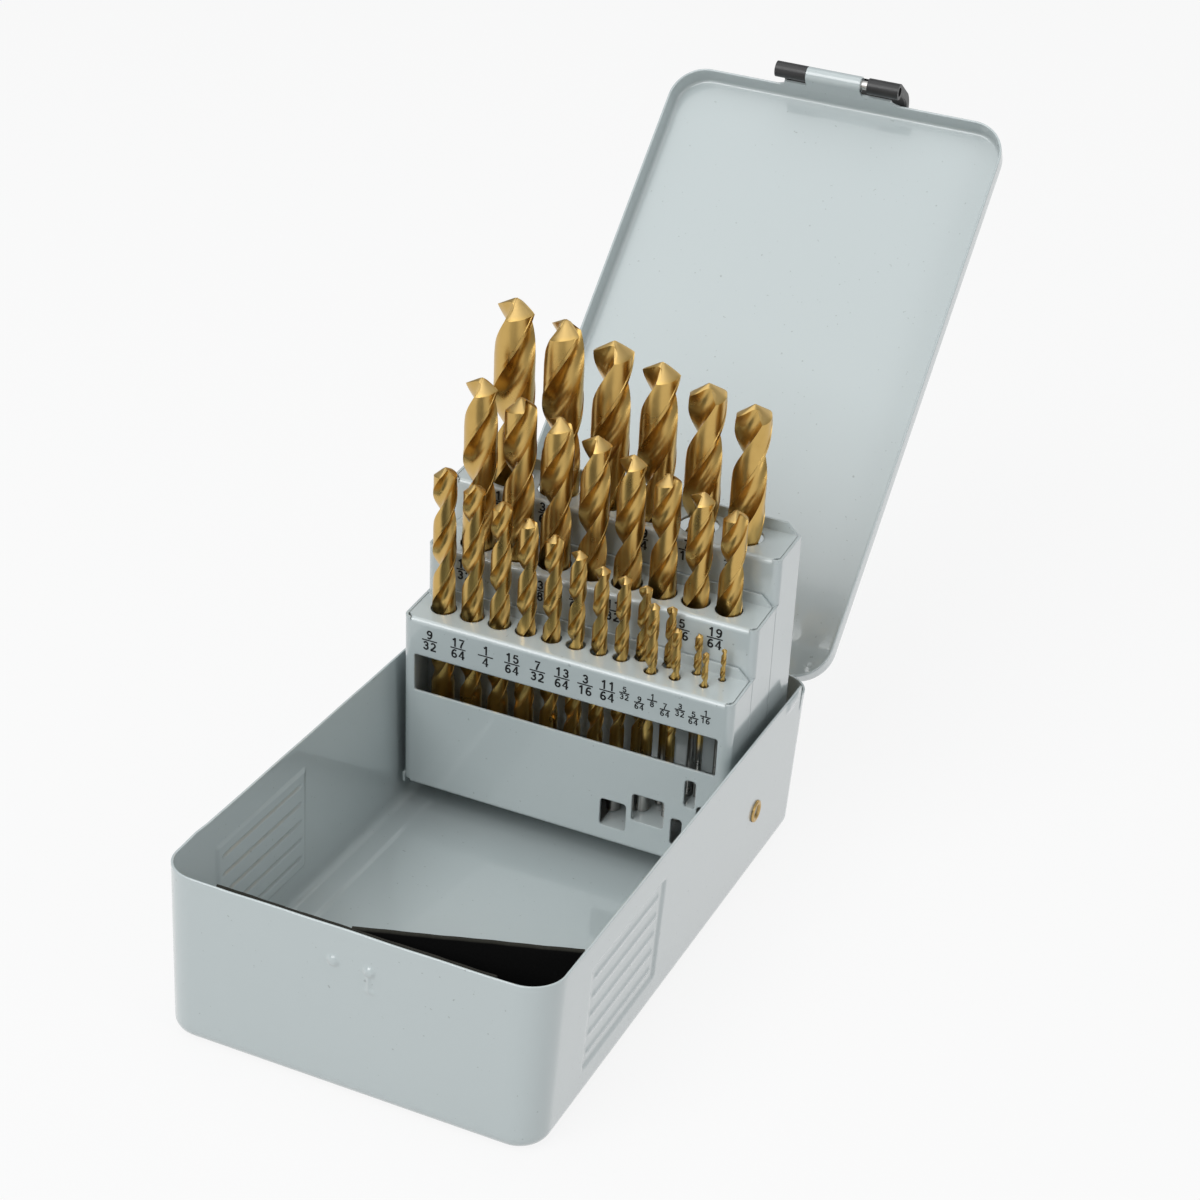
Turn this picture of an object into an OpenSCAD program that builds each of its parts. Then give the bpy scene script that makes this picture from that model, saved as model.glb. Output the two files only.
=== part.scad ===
// Folding sheet-steel case for a graded set of 29 twist drills.
// The set stands in a stepped rack that swings up out of the tray when the lid opens.
// Origin: middle of the tray's underside. Z is up, the lid hinge is at +Y, the latch at -Y.
// The case is drawn open, as it stands in use.

/* [Tray] */
// Outside width of the tray at its rim
case_w = 114; // [110:1:130]
// Outside length of the tray at its rim
case_d = 195; // [193:1:225]
// Height of the tray's rim above the ground
case_h = 53.2; // [52.6:0.2:64]
// Thickness of the sheet steel of tray and lid
sheet = 0.8; // [0.6:0.1:0.9]
// Outside radius of the tray's upright corners
corner_r = 10.4; // [8:0.2:14]
// How far each wall leans in between rim and base
draft = 1.3; // [0.6:0.1:1.8]
// Outside radius of the bend between walls and base
base_bend = 3.7; // [2.6:0.1:4.2]
// How far the middle of the base is pressed down, as the foot on which the tray stands
base_foot = 0.6; // [0.3:0.1:0.7]
// Width of the border round that foot
base_border = 11; // [8:0.5:14]

/* [Side panels] */
// Length of the pressed-in panel on each side wall
panel_l = 48; // [30:1:60]
// Distance from the tray's rim down to the panel's upper edge
panel_drop = 9.7; // [9.2:0.1:14]
// Height of the panel's lower edge above the ground
panel_foot = 11.1; // [8:0.1:14]
// Distance from the front wall to the panel's middle
panel_front = 53; // [40:1:60]
// Depth to which the panel is pressed in
panel_depth = 0.6; // [0.3:0.1:0.9]
// Number of ribs across the panel
rib_count = 5; // [3:1:6]
// Spacing of the ribs as a share of the panel's height
rib_share = 0.188; // [0.12:0.002:0.195]
// Radius of a rib's rounded outside
rib_r = 0.5; // [0.3:0.05:0.6]

/* [Lid] */
// Gap between the lid's rim and the tray's outside
lid_gap = 0.9; // [0.7:0.05:1.4]
// Inside-to-outside depth of the lid pan
lid_depth = 7.3; // [7.1:0.1:12]
// How far the lid's rim reaches down over the tray's rim
lid_overlap = 2.1; // [1:0.1:2.4]
// Outside radius of the bend round the lid's top
lid_bend = 1.8; // [1.2:0.1:2.4]
// Angle through which the lid is swung open
lid_open = 133.8; // [100:0.1:140]

/* [Lid hinge] */
// Radius of the hinge wire
hinge_wire_r = 1.05; // [0.8:0.05:1.2]
// Running clearance round a wire or pin
pin_play = 0.05; // [0.02:0.01:0.08]
// Depth of the hinge line below the tray's rim
hinge_drop = 4.1; // [4.05:0.05:4.6]
// Length of one hinge knuckle
knuckle_l = 14; // [8:0.5:18]
// End gap between hinge knuckles
knuckle_gap = 0.4; // [0.2:0.05:0.8]

/* [Latch] */
// Sideways offset of the latch from the middle
latch_x = -1; // [-6:0.5:6]
// Distance from the tray's rim down to the latch pin with the lid shut
latch_drop = 7.9; // [7.2:0.1:9.2]
// Radius of the latch pin
latch_pin_r = 1.5; // [1.2:0.05:1.6]
// Outside radius of the rolled tab and of the lever's knuckles
latch_roll_r = 2.65; // [2.4:0.05:2.8]
// Length of the rolled part of the lid's tab
latch_roll_l = 19.3; // [14:0.1:21]
// Room between the lever's two knuckles
latch_room = 21.7; // [21.4:0.1:24]
// Width of the lid's tab where it leaves the rim
latch_tab_w = 37.6; // [34:0.2:40]
// Overall width of the lever
lever_w = 43.4; // [42:0.2:46]
// Thickness of the lever's sheet
lever_sheet = 0.9; // [0.7:0.1:1.1]
// Radius of the lever's finger curve
lever_curve_r = 7; // [6:0.1:8]
// Height of the lever's straight back above its pin
lever_back = 9.5; // [8:0.1:11]
// How far the lever's back slopes away from its pin
lever_lean = 2.2; // [1.5:0.1:2.6]
// Depth of the lever's two side flanges
lever_flange = 2.6; // [1.5:0.1:3]
// Angle through which the finger curve bends back
lever_curve_angle = 62; // [40:1:70]
// Distance from the pin to the bead that hooks under the catch dimples
bead_z = 6.2; // [5.8:0.1:7]
// Radius of that bead
bead_r = 0.9; // [0.6:0.05:1]
// Length of that bead
bead_l = 19.5; // [12:0.5:21]
// Distance from the tray's rim down to the two catch dimples on the front wall
catch_drop = 10.8; // [9.2:0.1:13]
// Sideways offset of the two dimples from the middle
catch_x = 1.2; // [-2:0.1:2]
// Spacing of the catch dimples
catch_pitch = 10.5; // [8:0.1:14]
// Radius of a catch dimple's outline
catch_r = 2.2; // [1.6:0.1:2.6]
// How far a catch dimple stands out
catch_rise = 0.9; // [0.4:0.05:1]

/* [Rack] */
// Distance from the tray's back wall to the rack pivot
pivot_back = 42.9; // [42:0.1:44]
// Height of the rack pivot above the ground
pivot_z = 24.7; // [24.5:0.1:25.5]
// Angle by which the raised rack leans forward
rack_lean = 4.7; // [2:0.1:8]
// Thickness of the rack's sheet steel
rack_sheet = 0.8; // [0.7:0.05:0.9]
// Distance from the pivot forward to the front tier's face
front_reach = 18.2; // [17.6:0.1:18.6]
// Depth of the front tier
tier_1_d = 15.4; // [15.2:0.1:16]
// Depth of the middle tier
tier_2_d = 15.6; // [15:0.1:16]
// Depth of the back tier
tier_3_d = 17.6; // [16.5:0.1:18]
// Height of the front tier's plate above the pivot
plate_1_z = 47.2; // [46:0.1:49]
// Step from the front plate up to the middle plate
plate_2_rise = 16.5; // [15:0.1:18]
// Step from the middle plate up to the back plate
plate_3_rise = 15.3; // [14:0.1:17]
// Depth of the front shelf's top below the pivot
shelf_drop = 12.5; // [12:0.1:12.9]
// Depth of the main floor's top below the pivot
floor_drop = 14; // [13.8:0.1:15]
// Radius of the tiers' upright front corners
rack_corner_r = 2.5; // [1.5:0.1:3]
// Outside radius of the bend between a tier's face and plate
rack_bend = 1.6; // [1.2:0.1:2]
// Height of the lip behind each plate
lip_h = 3.5; // [2:0.1:4.5]
// Height of the long window's lower edge above the pivot
window_z = 21.7; // [20:0.1:24]
// Height of the long window
window_h = 13.1; // [8:0.1:15]
// Distance from the rack's side to the long window
window_side = 3.9; // [3:0.1:8]
// Width of the narrow step windows as a share of the rack's half width
step_w_share = 0.0678; // [0.056:0.0002:0.0716]
// Height of the step windows
step_h = 9.8; // [8:0.1:10.4]

/* [Rack pivots] */
// Outside radius of the hollow rivet's barrel
rivet_r = 2.2; // [1.8:0.1:2.4]
// Radius of the rivet's flanges
rivet_flange_r = 3.5; // [3:0.1:3.9]
// Thickness of the rivet's flanges and tube
rivet_wall = 0.7; // [0.5:0.05:0.8]
// Thickness of the spacer between tray and rack
spacer_t = 1.9; // [1.6:0.1:2.4]
// Radius of that spacer
spacer_r = 4.5; // [4:0.1:5]
// Side play between the rack, its rivets and its spacers
side_play = 0.1; // [0.05:0.01:0.2]

/* [Drills] */
// Length of one inch, in which the drill sizes are counted
inch = 25.4; // [25:0.1:25.6]
// Extra diameter of a rack hole over its drill
hole_play = 0.75; // [0.4:0.05:0.8]
// Share of a front row's spare width that lies between its large drills
front_gap_share = 0.767; // [0.7:0.001:0.774]
// Share of the middle row's spare width that lies between its drills
middle_gap_share = 0.532; // [0.44:0.001:0.56]
// Share of the back row's spare width that lies between its drills
back_gap_share = 0.477; // [0.42:0.001:0.5]
// Where the front row's large drills end, as a share of the rack's half width
front_end_share = 0.305; // [0.3:0.001:0.308]
// Distance from the front face to the front row's line
front_row_y = 9.3; // [9:0.1:9.6]
// Distance from the middle face to the middle row's line
middle_row_y = 8.1; // [7.6:0.1:8.8]
// Distance from the back face to the back row's line
back_row_y = 9.3; // [8.8:0.1:9.8]
// Distance of the staggered small drills from the front row's line
stagger = 2.6; // [2.4:0.1:2.8]

/* [Liner] */
// Thickness of the foam strip along the front wall
liner_t = 1.1; // [0.8:0.1:1.6]
// Distance of the strip's top edge below the tray's rim
liner_drop = 1; // [0.6:0.1:4]
// Length of the strip to the left of the middle
liner_left = 40.5; // [30:0.5:42]
// Distance of the corner strip's far end from the front wall
liner_corner_y = 24; // [18:0.5:30]
// Clearance round the foam strips
foam_play = 0.3; // [0.2:0.05:0.4]

/* [Hidden] */
// Overrun of every cutting tool past the face it cuts
cut = 1;
// Thickness of the wafers that blended shells are stretched over
wafer = 0.02;
// Overlap that joins two solids of one piece
lap = 0.2;
// Facets of a true circle, and of a circle inside a blended shell
round_fn = 48;
shell_fn = 40;

// Drill diameters in 64ths of an inch, smallest first
drill_sizes = [for (n = [4:32]) n];
// Overall lengths in eighths of an inch, standard jobber series
length_eighths = [15, 16, 18, 21, 22, 23, 25, 26, 28, for (n = [29:48]) n];
// Flute lengths in sixteenths of an inch, standard jobber series
flute_sixteenths = [14, 16, 20, 24, 26, 28, 32, 34, 37, 39, 40, 42, 44, 46, 47,
    49, 51, 53, 55, 56, 58, 60, 62, 63, 65, 67, 69, 70, 72];
// Largest size in the staggered group, the front row and the middle row
stagger_last = 10;
front_last = 18;
middle_last = 26;
first_size = 4;
largest_size = 32;
// Places of the staggered drills as shares of the rack's half width, smallest first
stagger_x_share = [0.844, 0.778, 0.695, 0.606, 0.527, 0.463, 0.367];
// Heights of the step shelves as shares of the height from front shelf to long window
step_rise_share = [0.149, 0.292, 0.468, 0.597, 0.664];
// Smallest and largest drill that each step shelf carries
step_drills = [[10, 11], [7, 9], [6, 6], [5, 5], [4, 4]];
// Window edges beyond those drills' centres as shares of the narrow window's width
step_edge_share = [[0.14, 0.7], [0.25, 0.55], [0.14, 0.86], [0.36, 0.64], [0.17, 0.89]];
// A shelf is bent in from its window's lower edge (1) or upper edge (-1)
step_side = [1, 1, -1, 1, -1];

// Largest power of two that divides n
function even_part(n) = n % 2 == 0 ? 2 * even_part(n / 2) : 1;
function fraction_name(n) = str("drill_", n / even_part(n), "_", 64 / even_part(n));

// Tray and hinge
half_w = case_w / 2;
half_d = case_d / 2;
wall_angle = atan(draft / case_h);
hinge_z = case_h - hinge_drop;
hinge_bore_r = hinge_wire_r + pin_play;
hinge_r = hinge_bore_r + sheet;
hinge_y = half_d - wall_inset(hinge_z) - sheet + hinge_r - lap;
back_z = hinge_z;
knuckle_pitch = knuckle_l + knuckle_gap;
panel_h = case_h - panel_drop - panel_foot;
panel_z = panel_foot + panel_h / 2;
panel_bevel = 2 * panel_depth;
rib_pitch = rib_share * panel_h;
latch_z = case_h - latch_drop;
catch_z = case_h - catch_drop;

// Lid, in its shut place
lid_half_w = half_w + lid_gap + sheet;
lid_half_d = half_d + lid_gap + sheet;
lid_corner_r = corner_r + lid_gap + sheet;
lid_rim_z = case_h - lid_overlap;
lid_top_z = lid_rim_z + lid_depth;
latch_y = -(lid_half_d - sheet) - latch_roll_r;
latch_bore_r = latch_pin_r + pin_play;
latch_knuckle_gap = 0.5 * sheet;
lid_draft = draft * lid_depth / case_h;

// Rack, measured from its pivot
pivot_y = half_d - pivot_back;
wall_at_pivot = half_w - wall_inset(pivot_z) - sheet;
rack_half = wall_at_pivot - spacer_t - 2 * side_play - draft / 4;
step_w = step_w_share * rack_half;
front_row_w = (1 + front_end_share) * rack_half;
front_gap = front_gap_share * (front_row_w - sizes_w(stagger_last + 1, front_last)) / (front_last - stagger_last - 1);
middle_gap = middle_gap_share * (2 * rack_half - sizes_w(front_last + 1, middle_last))
    / (middle_last - front_last - 1);
back_gap = back_gap_share * (2 * rack_half - sizes_w(middle_last + 1, largest_size))
    / (largest_size - middle_last - 1);
face_1 = -front_reach;
face_2 = face_1 + tier_1_d;
face_3 = face_2 + tier_2_d;
rack_back = face_3 + tier_3_d;
plate_2_z = plate_1_z + plate_2_rise;
plate_3_z = plate_2_z + plate_3_rise;
rack_base = -(shelf_drop + rack_sheet);
seam = rack_sheet / 4;
relief_r = rack_bend * 0.55;
rivet_bore_r = rivet_r + pin_play;

// How far a tray wall stands in from the rim at height z
function wall_inset(z) = draft * (case_h - z) / case_h;
// Diameter, length and flute length of a drill of n 64ths
function drill_d(n) = n * inch / 64;
function drill_l(n) = length_eighths[n - first_size] * inch / 8;
function flute_l(n) = flute_sixteenths[n - first_size] * inch / 16;
// Diameters of sizes a to b together, and the width of their row with a given gap
function sizes_w(a, b) = (a + b) / 2 * (b - a + 1) * inch / 64;
function row_w(a, b, gap) = sizes_w(a, b) + (b - a) * gap;
// Place of a drill in its row, from the left end of the row's largest drill, of size b
function row_place(n, b, gap) = sizes_w(n + 1, b) + (b - n) * gap + drill_d(n) / 2;
// Rack column of a drill: large drills run from the left, largest first
function drill_x(n) =
    n > middle_last ? row_place(n, largest_size, back_gap) - row_w(middle_last + 1, largest_size, back_gap) / 2
    : n > front_last ? row_place(n, middle_last, middle_gap) - row_w(front_last + 1, middle_last, middle_gap) / 2
    : n > stagger_last ? row_place(n, front_last, front_gap)
        + front_row_w - rack_half - row_w(stagger_last + 1, front_last, front_gap)
    : rack_half * stagger_x_share[n - first_size];
function drill_y(n) =
    n > middle_last ? face_3 + back_row_y
    : n > front_last ? face_2 + middle_row_y
    : n > stagger_last ? face_1 + front_row_y
    : face_1 + front_row_y + stagger * (n % 2 == 0 ? 1.08 : -1);
// Height of the top of step shelf i
function step_z(i) = -shelf_drop + step_rise_share[i] * (window_z + shelf_drop);
// Step shelf that carries a drill, if there is one
function step_of(n) = [for (i = [0:4]) if (n >= step_drills[i][0] && n <= step_drills[i][1]) i];
function drill_z(n) =
    n > front_last ? -floor_drop : len(step_of(n)) == 0 ? -shelf_drop : step_z(step_of(n)[0]);
function plate_z(n) = n > middle_last ? plate_3_z : n > front_last ? plate_2_z : plate_1_z;

enamel = [0.62, 0.67, 0.67];
steel = [0.55, 0.55, 0.53];
gold = [0.70, 0.50, 0.22];
brass = [0.80, 0.66, 0.38];
black = [0.08, 0.08, 0.08];

// Wafer with rounded corners at height z, e inside the outline w by d of corner radius r
module outline_wafer(w, d, r, e, z)
    for (x = [-1, 1], y = [-1, 1])
        translate([x * (w - r), y * (d - r), z])
            cylinder(r = r - e, h = wafer, $fn = shell_fn);

// Tray's envelope, t inside its outside faces and cut off at height top
module tray_envelope(t, top) hull() {
    for (a = [0:15:90])
        let (z = base_foot + t + (base_bend - t) * (1 - cos(a)))
            outline_wafer(half_w, half_d, corner_r, wall_inset(z) + t + (base_bend - t) * (1 - sin(a)), z);
    outline_wafer(half_w, half_d, corner_r, wall_inset(top) + t, top - wafer);
}

// Bevelled block whose face t inside a side wall carries the pressed-in panel
module panel_block(side, t)
    translate([side * half_w, 0, case_h]) rotate([0, side * wall_angle, 0])
        translate([-side * t, panel_front - half_d, panel_z - case_h]) hull() {
            cube([2 * wafer, panel_l, panel_h], center = true);
            cube([2 * panel_depth, panel_l - panel_bevel, panel_h - panel_bevel], center = true);
        }

// Row of rods of radius r lying t inside a side wall, one for each rib
module panel_rods(side, t, r)
    translate([side * half_w, 0, case_h]) rotate([0, side * wall_angle, 0])
        for (i = [0:rib_count - 1])
            translate([-side * t, panel_front - half_d, panel_z - case_h + (i - (rib_count - 1) / 2) * rib_pitch])
                rotate([90, 0, 0])
                    cylinder(r = r, h = panel_l - 5 * panel_bevel, center = true, $fn = 16);

// Balls that press the catch dimples out of the front wall, shrunk by t
module catch_balls(t) {
    ball_r = (catch_r * catch_r + catch_rise * catch_rise) / (2 * catch_rise);
    for (side = [-1, 1])
        translate([catch_x + side * catch_pitch / 2,
                   -(half_d - wall_inset(catch_z)) + ball_r - catch_rise, catch_z])
            sphere(r = ball_r - t, $fn = 32);
}

// Foot pressed down from the base: its outside (t = 0) or its inside (t = sheet)
module base_block(t)
    translate([0, 0, t]) linear_extrude(2 * base_foot)
        rounded_square(t - half_w + base_border, t - half_d + base_border, case_w - 2 * (base_border + t),
                       case_d - 2 * (base_border + t), corner_r / 2);

// Square of w by h with corners of radius r, its lower left corner at x and y
module rounded_square(x, y, w, h, r) translate([x, y]) {
    translate([r, 0]) square([w - 2 * r, h]);
    translate([0, r]) square([w, h - 2 * r]);
    for (u = [r, w - r], v = [r, h - r])
        translate([u, v]) circle(r = r, $fn = 32);
}

// Rounded ring of a hinge knuckle along X, from x0 over length l
module knuckle(x0, l, r) translate([x0, 0, 0]) rotate([0, 90, 0]) cylinder(r = r, h = l, $fn = round_fn);

module tray() color(enamel) difference() {
    union() {
        difference() {
            union() {
                difference() {
                    tray_envelope(0, case_h);
                    for (side = [-1, 1])
                        panel_block(side, 0);
                }
                for (side = [-1, 1])
                    panel_rods(side, panel_depth + rib_r / 2, rib_r);
                catch_balls(0);
                base_block(0);
            }
            difference() {
                tray_envelope(sheet, case_h + cut);
                for (side = [-1, 1])
                    panel_block(side, sheet);
            }
            for (side = [-1, 1])
                panel_rods(side, panel_depth + sheet, 0.7 * rib_r);
            catch_balls(sheet);
            base_block(sheet);
            // The back wall and the back corners stop at the hinge line
            translate([-case_w, half_d - corner_r - hinge_r, back_z])
                cube([2 * case_w, case_d, case_h]);
            // Notches for the lid's hinge knuckles
            for (side = [-1, 1])
                translate([side * knuckle_pitch - knuckle_l / 2 - knuckle_gap, half_d - corner_r,
                           hinge_z - hinge_r - knuckle_gap])
                    cube([knuckle_l + 2 * knuckle_gap, case_d, case_h]);
            // Slit beside each back corner
            translate([-case_w, half_d - corner_r - hinge_r, back_z - hinge_drop])
                cube([2 * case_w, sheet, case_h]);
        }
        for (i = [-1:1])
            translate([0, hinge_y, hinge_z])
                knuckle(i * 2 * knuckle_pitch - knuckle_l / 2, knuckle_l, hinge_r);
    }
    translate([-half_w, hinge_y, hinge_z]) knuckle(0, case_w, hinge_bore_r);
    translate([-case_w, pivot_y, pivot_z]) knuckle(0, 2 * case_w, rivet_r + pin_play / 2);
}

// Places its children, drawn with the lid shut, as the open lid carries them
module opened()
    translate([0, hinge_y, hinge_z]) rotate([-lid_open, 0, 0]) translate([0, -hinge_y, -hinge_z]) children();

// Lid pan's envelope, t inside its outside faces, with its underside at height z0
module lid_envelope(t, z0) hull() {
    outline_wafer(lid_half_w, lid_half_d, lid_corner_r, t, z0);
    for (a = [0:15:90])
        let (z = lid_top_z - t - (lid_bend - t) * (1 - cos(a)))
            outline_wafer(lid_half_w, lid_half_d, lid_corner_r,
                          t + lid_draft + (lid_bend - t) * (1 - sin(a)), z - wafer);
}

// Flat tab that hangs from the lid's front rim: wide at the rim, narrow at the roll
module latch_tab() {
    fillet_r = 1.5 * sheet + latch_roll_r / 2;
    narrow_z = latch_z + latch_roll_r + latch_knuckle_gap;
    translate([latch_x, -(lid_half_d - sheet), 0]) rotate([90, 0, 0]) linear_extrude(sheet) {
        difference() {
            translate([-latch_tab_w / 2 - fillet_r, narrow_z])
                square([latch_tab_w + 2 * fillet_r, lid_rim_z + lid_bend - narrow_z]);
            for (side = [-1, 1])
                translate([side * (latch_tab_w / 2 + fillet_r), lid_rim_z - fillet_r])
                    circle(r = fillet_r, $fn = round_fn);
            for (side = [-1, 1])
                translate([side * (latch_tab_w / 2 + fillet_r) - fillet_r, narrow_z - cut])
                    square([2 * fillet_r, lid_rim_z - fillet_r - narrow_z + cut]);
        }
        translate([-latch_room / 2, latch_z])
            square([latch_roll_l, narrow_z + lap - latch_z]);
    }
}

module lid() color(enamel) opened() difference() {
    union() {
        difference() {
            lid_envelope(0, lid_rim_z);
            lid_envelope(sheet, lid_rim_z - cut);
        }
        for (side = [-1, 1])
            translate([side * knuckle_pitch - knuckle_l / 2, 0, 0]) {
                translate([0, hinge_y, hinge_z]) knuckle(0, knuckle_l, hinge_r);
                translate([0, lid_half_d - sheet, hinge_z]) cube([knuckle_l, sheet, lid_depth]);
            }
        latch_tab();
        translate([latch_x - latch_room / 2, latch_y, latch_z]) knuckle(0, latch_roll_l, latch_roll_r);
    }
    translate([-half_w, hinge_y, hinge_z]) knuckle(0, case_w, hinge_bore_r);
    translate([-half_w, latch_y, latch_z]) knuckle(0, case_w, latch_bore_r);
}

module hinge_wire() color(steel)
    translate([-2.5 * knuckle_pitch, hinge_y, hinge_z]) knuckle(0, 5 * knuckle_pitch, hinge_wire_r);

module latch_pin() color(steel) opened()
    translate([latch_x - lever_w / 2 + lever_sheet, latch_y, latch_z])
        knuckle(0, lever_w - 2 * lever_sheet, latch_pin_r);

// Side view of the lever's back and finger curve, pin at the origin, thickness t
module lever_profile(t) {
    slope = atan(lever_lean / lever_back);
    rotate(slope) translate([-latch_roll_r, 0]) {
        square([t, lever_back]);
        translate([lever_curve_r, lever_back]) intersection() {
            difference() {
                circle(r = lever_curve_r, $fn = round_fn);
                circle(r = lever_curve_r - t, $fn = round_fn);
            }
            polygon([[0, 0], [-2 * lever_curve_r, 0], [-2 * lever_curve_r, 2 * lever_curve_r],
                     [-2 * lever_curve_r * cos(lever_curve_angle), 2 * lever_curve_r * sin(lever_curve_angle)]]);
        }
    }
}

// Lever in its folded-back place against the outside of the lid
module latch_lever() color(black) opened()
    translate([latch_x, latch_y, latch_z]) difference() {
        union() {
            rotate([atan(lever_lean / lever_back), 0, 0])
                translate([-bead_l / 2, bead_r / 3 - latch_roll_r, bead_z]) knuckle(0, bead_l, bead_r);
            rotate([90, 0, 90]) {
                translate([0, 0, -lever_w / 2]) linear_extrude(lever_w) lever_profile(lever_sheet);
                for (z = [-lever_w / 2, lever_w / 2 - lever_sheet])
                    translate([0, 0, z]) linear_extrude(lever_sheet) lever_profile(lever_flange);
            }
            for (side = [-1, 1])
                translate([side > 0 ? latch_room / 2 : -lever_w / 2, 0, 0])
                    knuckle(0, (lever_w - latch_room) / 2, latch_roll_r);
        }
        translate([-lever_w, 0, 0]) knuckle(0, 2 * lever_w, latch_pin_r + pin_play / 2);
        // Room for the roll between the lever's knuckles
        translate([-latch_room / 2, 0, 0]) knuckle(0, latch_room, latch_roll_r + latch_knuckle_gap);
    }

// Plan of a folded tier's walls: face at y = 0, corners of radius r, flanges back to depth d
module tier_plan(d, r) difference() {
    tier_blank(rack_half, d, r);
    translate([0, rack_sheet]) tier_blank(rack_half - rack_sheet, d, max(r - rack_sheet, lap));
}

module tier_blank(w, d, r) {
    translate([-w, r]) square([2 * w, d - r]);
    translate([-w + r, 0]) square([2 * (w - r), d - r]);
    for (side = [-1, 1])
        translate([side * (w - r), r]) circle(r = r, $fn = round_fn);
}

// Quarter bend of a sheet, centred on the origin, from facing -Y round to facing +Z
module bend_profile(r) intersection() {
    difference() {
        circle(r = r, $fn = round_fn);
        circle(r = r - rack_sheet, $fn = round_fn);
    }
    translate([-r, 0]) square([r, r]);
}

// Extrudes a side view (Y to the right, Z up) over the width 2 * w
module across(w) rotate([90, 0, 90]) translate([0, 0, -w]) linear_extrude(2 * w) children();

// Upper part of a tier: face, flanges, bend, plate and lip, face at y = 0, from z0 up to plate height z1
module tier_top(d, z0, z1) {
    bend_half = rack_half - rack_corner_r;
    plate_half = rack_half - rack_sheet - seam;
    difference() {
        translate([0, 0, z0]) linear_extrude(z1 - z0) tier_plan(d, rack_corner_r);
        translate([-bend_half, -cut, z1 - rack_bend]) cube([2 * bend_half, rack_bend + cut, rack_bend + cut]);
    }
    across(bend_half) translate([rack_bend, z1 - rack_bend]) bend_profile(rack_bend);
    difference() {
        translate([-plate_half, rack_bend - seam / 2, z1 - rack_sheet])
            cube([2 * plate_half, d - rack_bend, rack_sheet]);
        for (side = [-1, 1])
            translate([side * plate_half, rack_bend, z1 - rack_sheet - cut])
                cylinder(r = relief_r, h = rack_sheet + 2 * cut, $fn = round_fn);
    }
    // Lip with ends cut at 45 degrees
    translate([0, d - seam / 2, z1 - rack_sheet]) rotate([90, 0, 0]) linear_extrude(rack_sheet)
        polygon([[-plate_half, 0], [plate_half, 0], [plate_half, rack_sheet],
                 [plate_half - lip_h, rack_sheet + lip_h], [lip_h - plate_half, rack_sheet + lip_h],
                 [-plate_half, rack_sheet]]);
}

// Side flanges only, from y = 0 back to depth d, from z0 up to z1
module side_flanges(d, z0, z1)
    for (side = [-1, 1])
        translate([side * (rack_half - rack_sheet / 2), d / 2, (z0 + z1) / 2])
            cube([rack_sheet, d, z1 - z0], center = true);

// Holes of the drills from size a to size b
module drill_holes(a, b)
    for (n = [a:b])
        translate([drill_x(n), drill_y(n), plate_z(n) - rack_sheet - cut])
            cylinder(r = (drill_d(n) + hole_play) / 2, h = rack_sheet + 2 * cut, $fn = 32);

// Left and right edge of step window i
function step_x0(i) = drill_x(step_drills[i][1]) - step_edge_share[i][0] * step_w;
function step_x1(i) = drill_x(step_drills[i][0]) + step_edge_share[i][1] * step_w;
function step_floor(i) = step_side[i] > 0 ? step_z(i) : step_z(i) - rack_sheet - step_h;

// Window through the front face, its lower left corner at x and z, with corners of radius r
module face_window(x, z, w, h, r)
    translate([0, face_1 + rack_sheet + cut, 0]) rotate([90, 0, 0])
        linear_extrude(rack_sheet + 2 * cut) rounded_square(x, z, w, h, r);

// Shelf bent in from a step window's edge
module step_shelf(i)
    translate([step_x0(i), face_1 + rack_sheet - seam, step_z(i) - rack_sheet])
        cube([step_x1(i) - step_x0(i), front_row_y + 1.6 * stagger - rack_sheet, rack_sheet]);

module in_rack() translate([0, pivot_y, pivot_z]) rotate([rack_lean, 0, 0]) children();

module rack_front_tier() color(enamel) in_rack() difference() {
    union() {
        difference() {
            union() {
                translate([0, face_1, 0]) {
                    tier_top(tier_1_d - seam, rack_base + rack_bend, plate_1_z);
                    side_flanges(tier_1_d - seam, rack_base, rack_base + 2 * rack_bend);
                    // Front shelf, bent in from the face's lower edge
                    across(rack_half - rack_corner_r) translate([rack_bend, rack_base + rack_bend])
                        mirror([0, 1]) bend_profile(rack_bend);
                    translate([-(rack_half - rack_corner_r), rack_bend - seam / 2, rack_base])
                        cube([2 * (rack_half - rack_corner_r), front_row_y + stagger, rack_sheet]);
                }
            }
            face_window(window_side - rack_half, window_z, 2 * (rack_half - window_side), window_h, rack_sheet);
            for (i = [0:4])
                face_window(step_x0(i), step_floor(i), step_x1(i) - step_x0(i), step_h, rack_sheet * 1.5);
        }
        for (i = [0:4])
            step_shelf(i);
    }
    drill_holes(first_size, front_last);
}

module rack_middle_tier() color(enamel) in_rack() difference() {
    translate([0, face_2, 0]) {
        tier_top(tier_2_d - seam, plate_1_z - seam, plate_2_z);
        // Behind the front tier the face is joggled flat and square
        translate([0, 0, window_z / 2]) linear_extrude(plate_1_z - window_z / 2)
            tier_plan(tier_2_d - seam, lap);
        side_flanges(tier_2_d - seam, rack_base, window_z / 2 + lap);
    }
    drill_holes(front_last + 1, middle_last);
    translate([-case_w, 0, 0]) knuckle(0, 2 * case_w, rivet_bore_r);
}

module rack_back_tier() color(enamel) in_rack() difference() {
    translate([0, face_3, 0]) {
        tier_top(tier_3_d, plate_2_z - seam, plate_3_z);
        translate([0, 0, plate_1_z]) linear_extrude(plate_2_z - plate_1_z) tier_plan(tier_3_d, lap);
        side_flanges(tier_3_d, rack_base, plate_1_z + lap);
    }
    drill_holes(middle_last + 1, largest_size);
}

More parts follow.
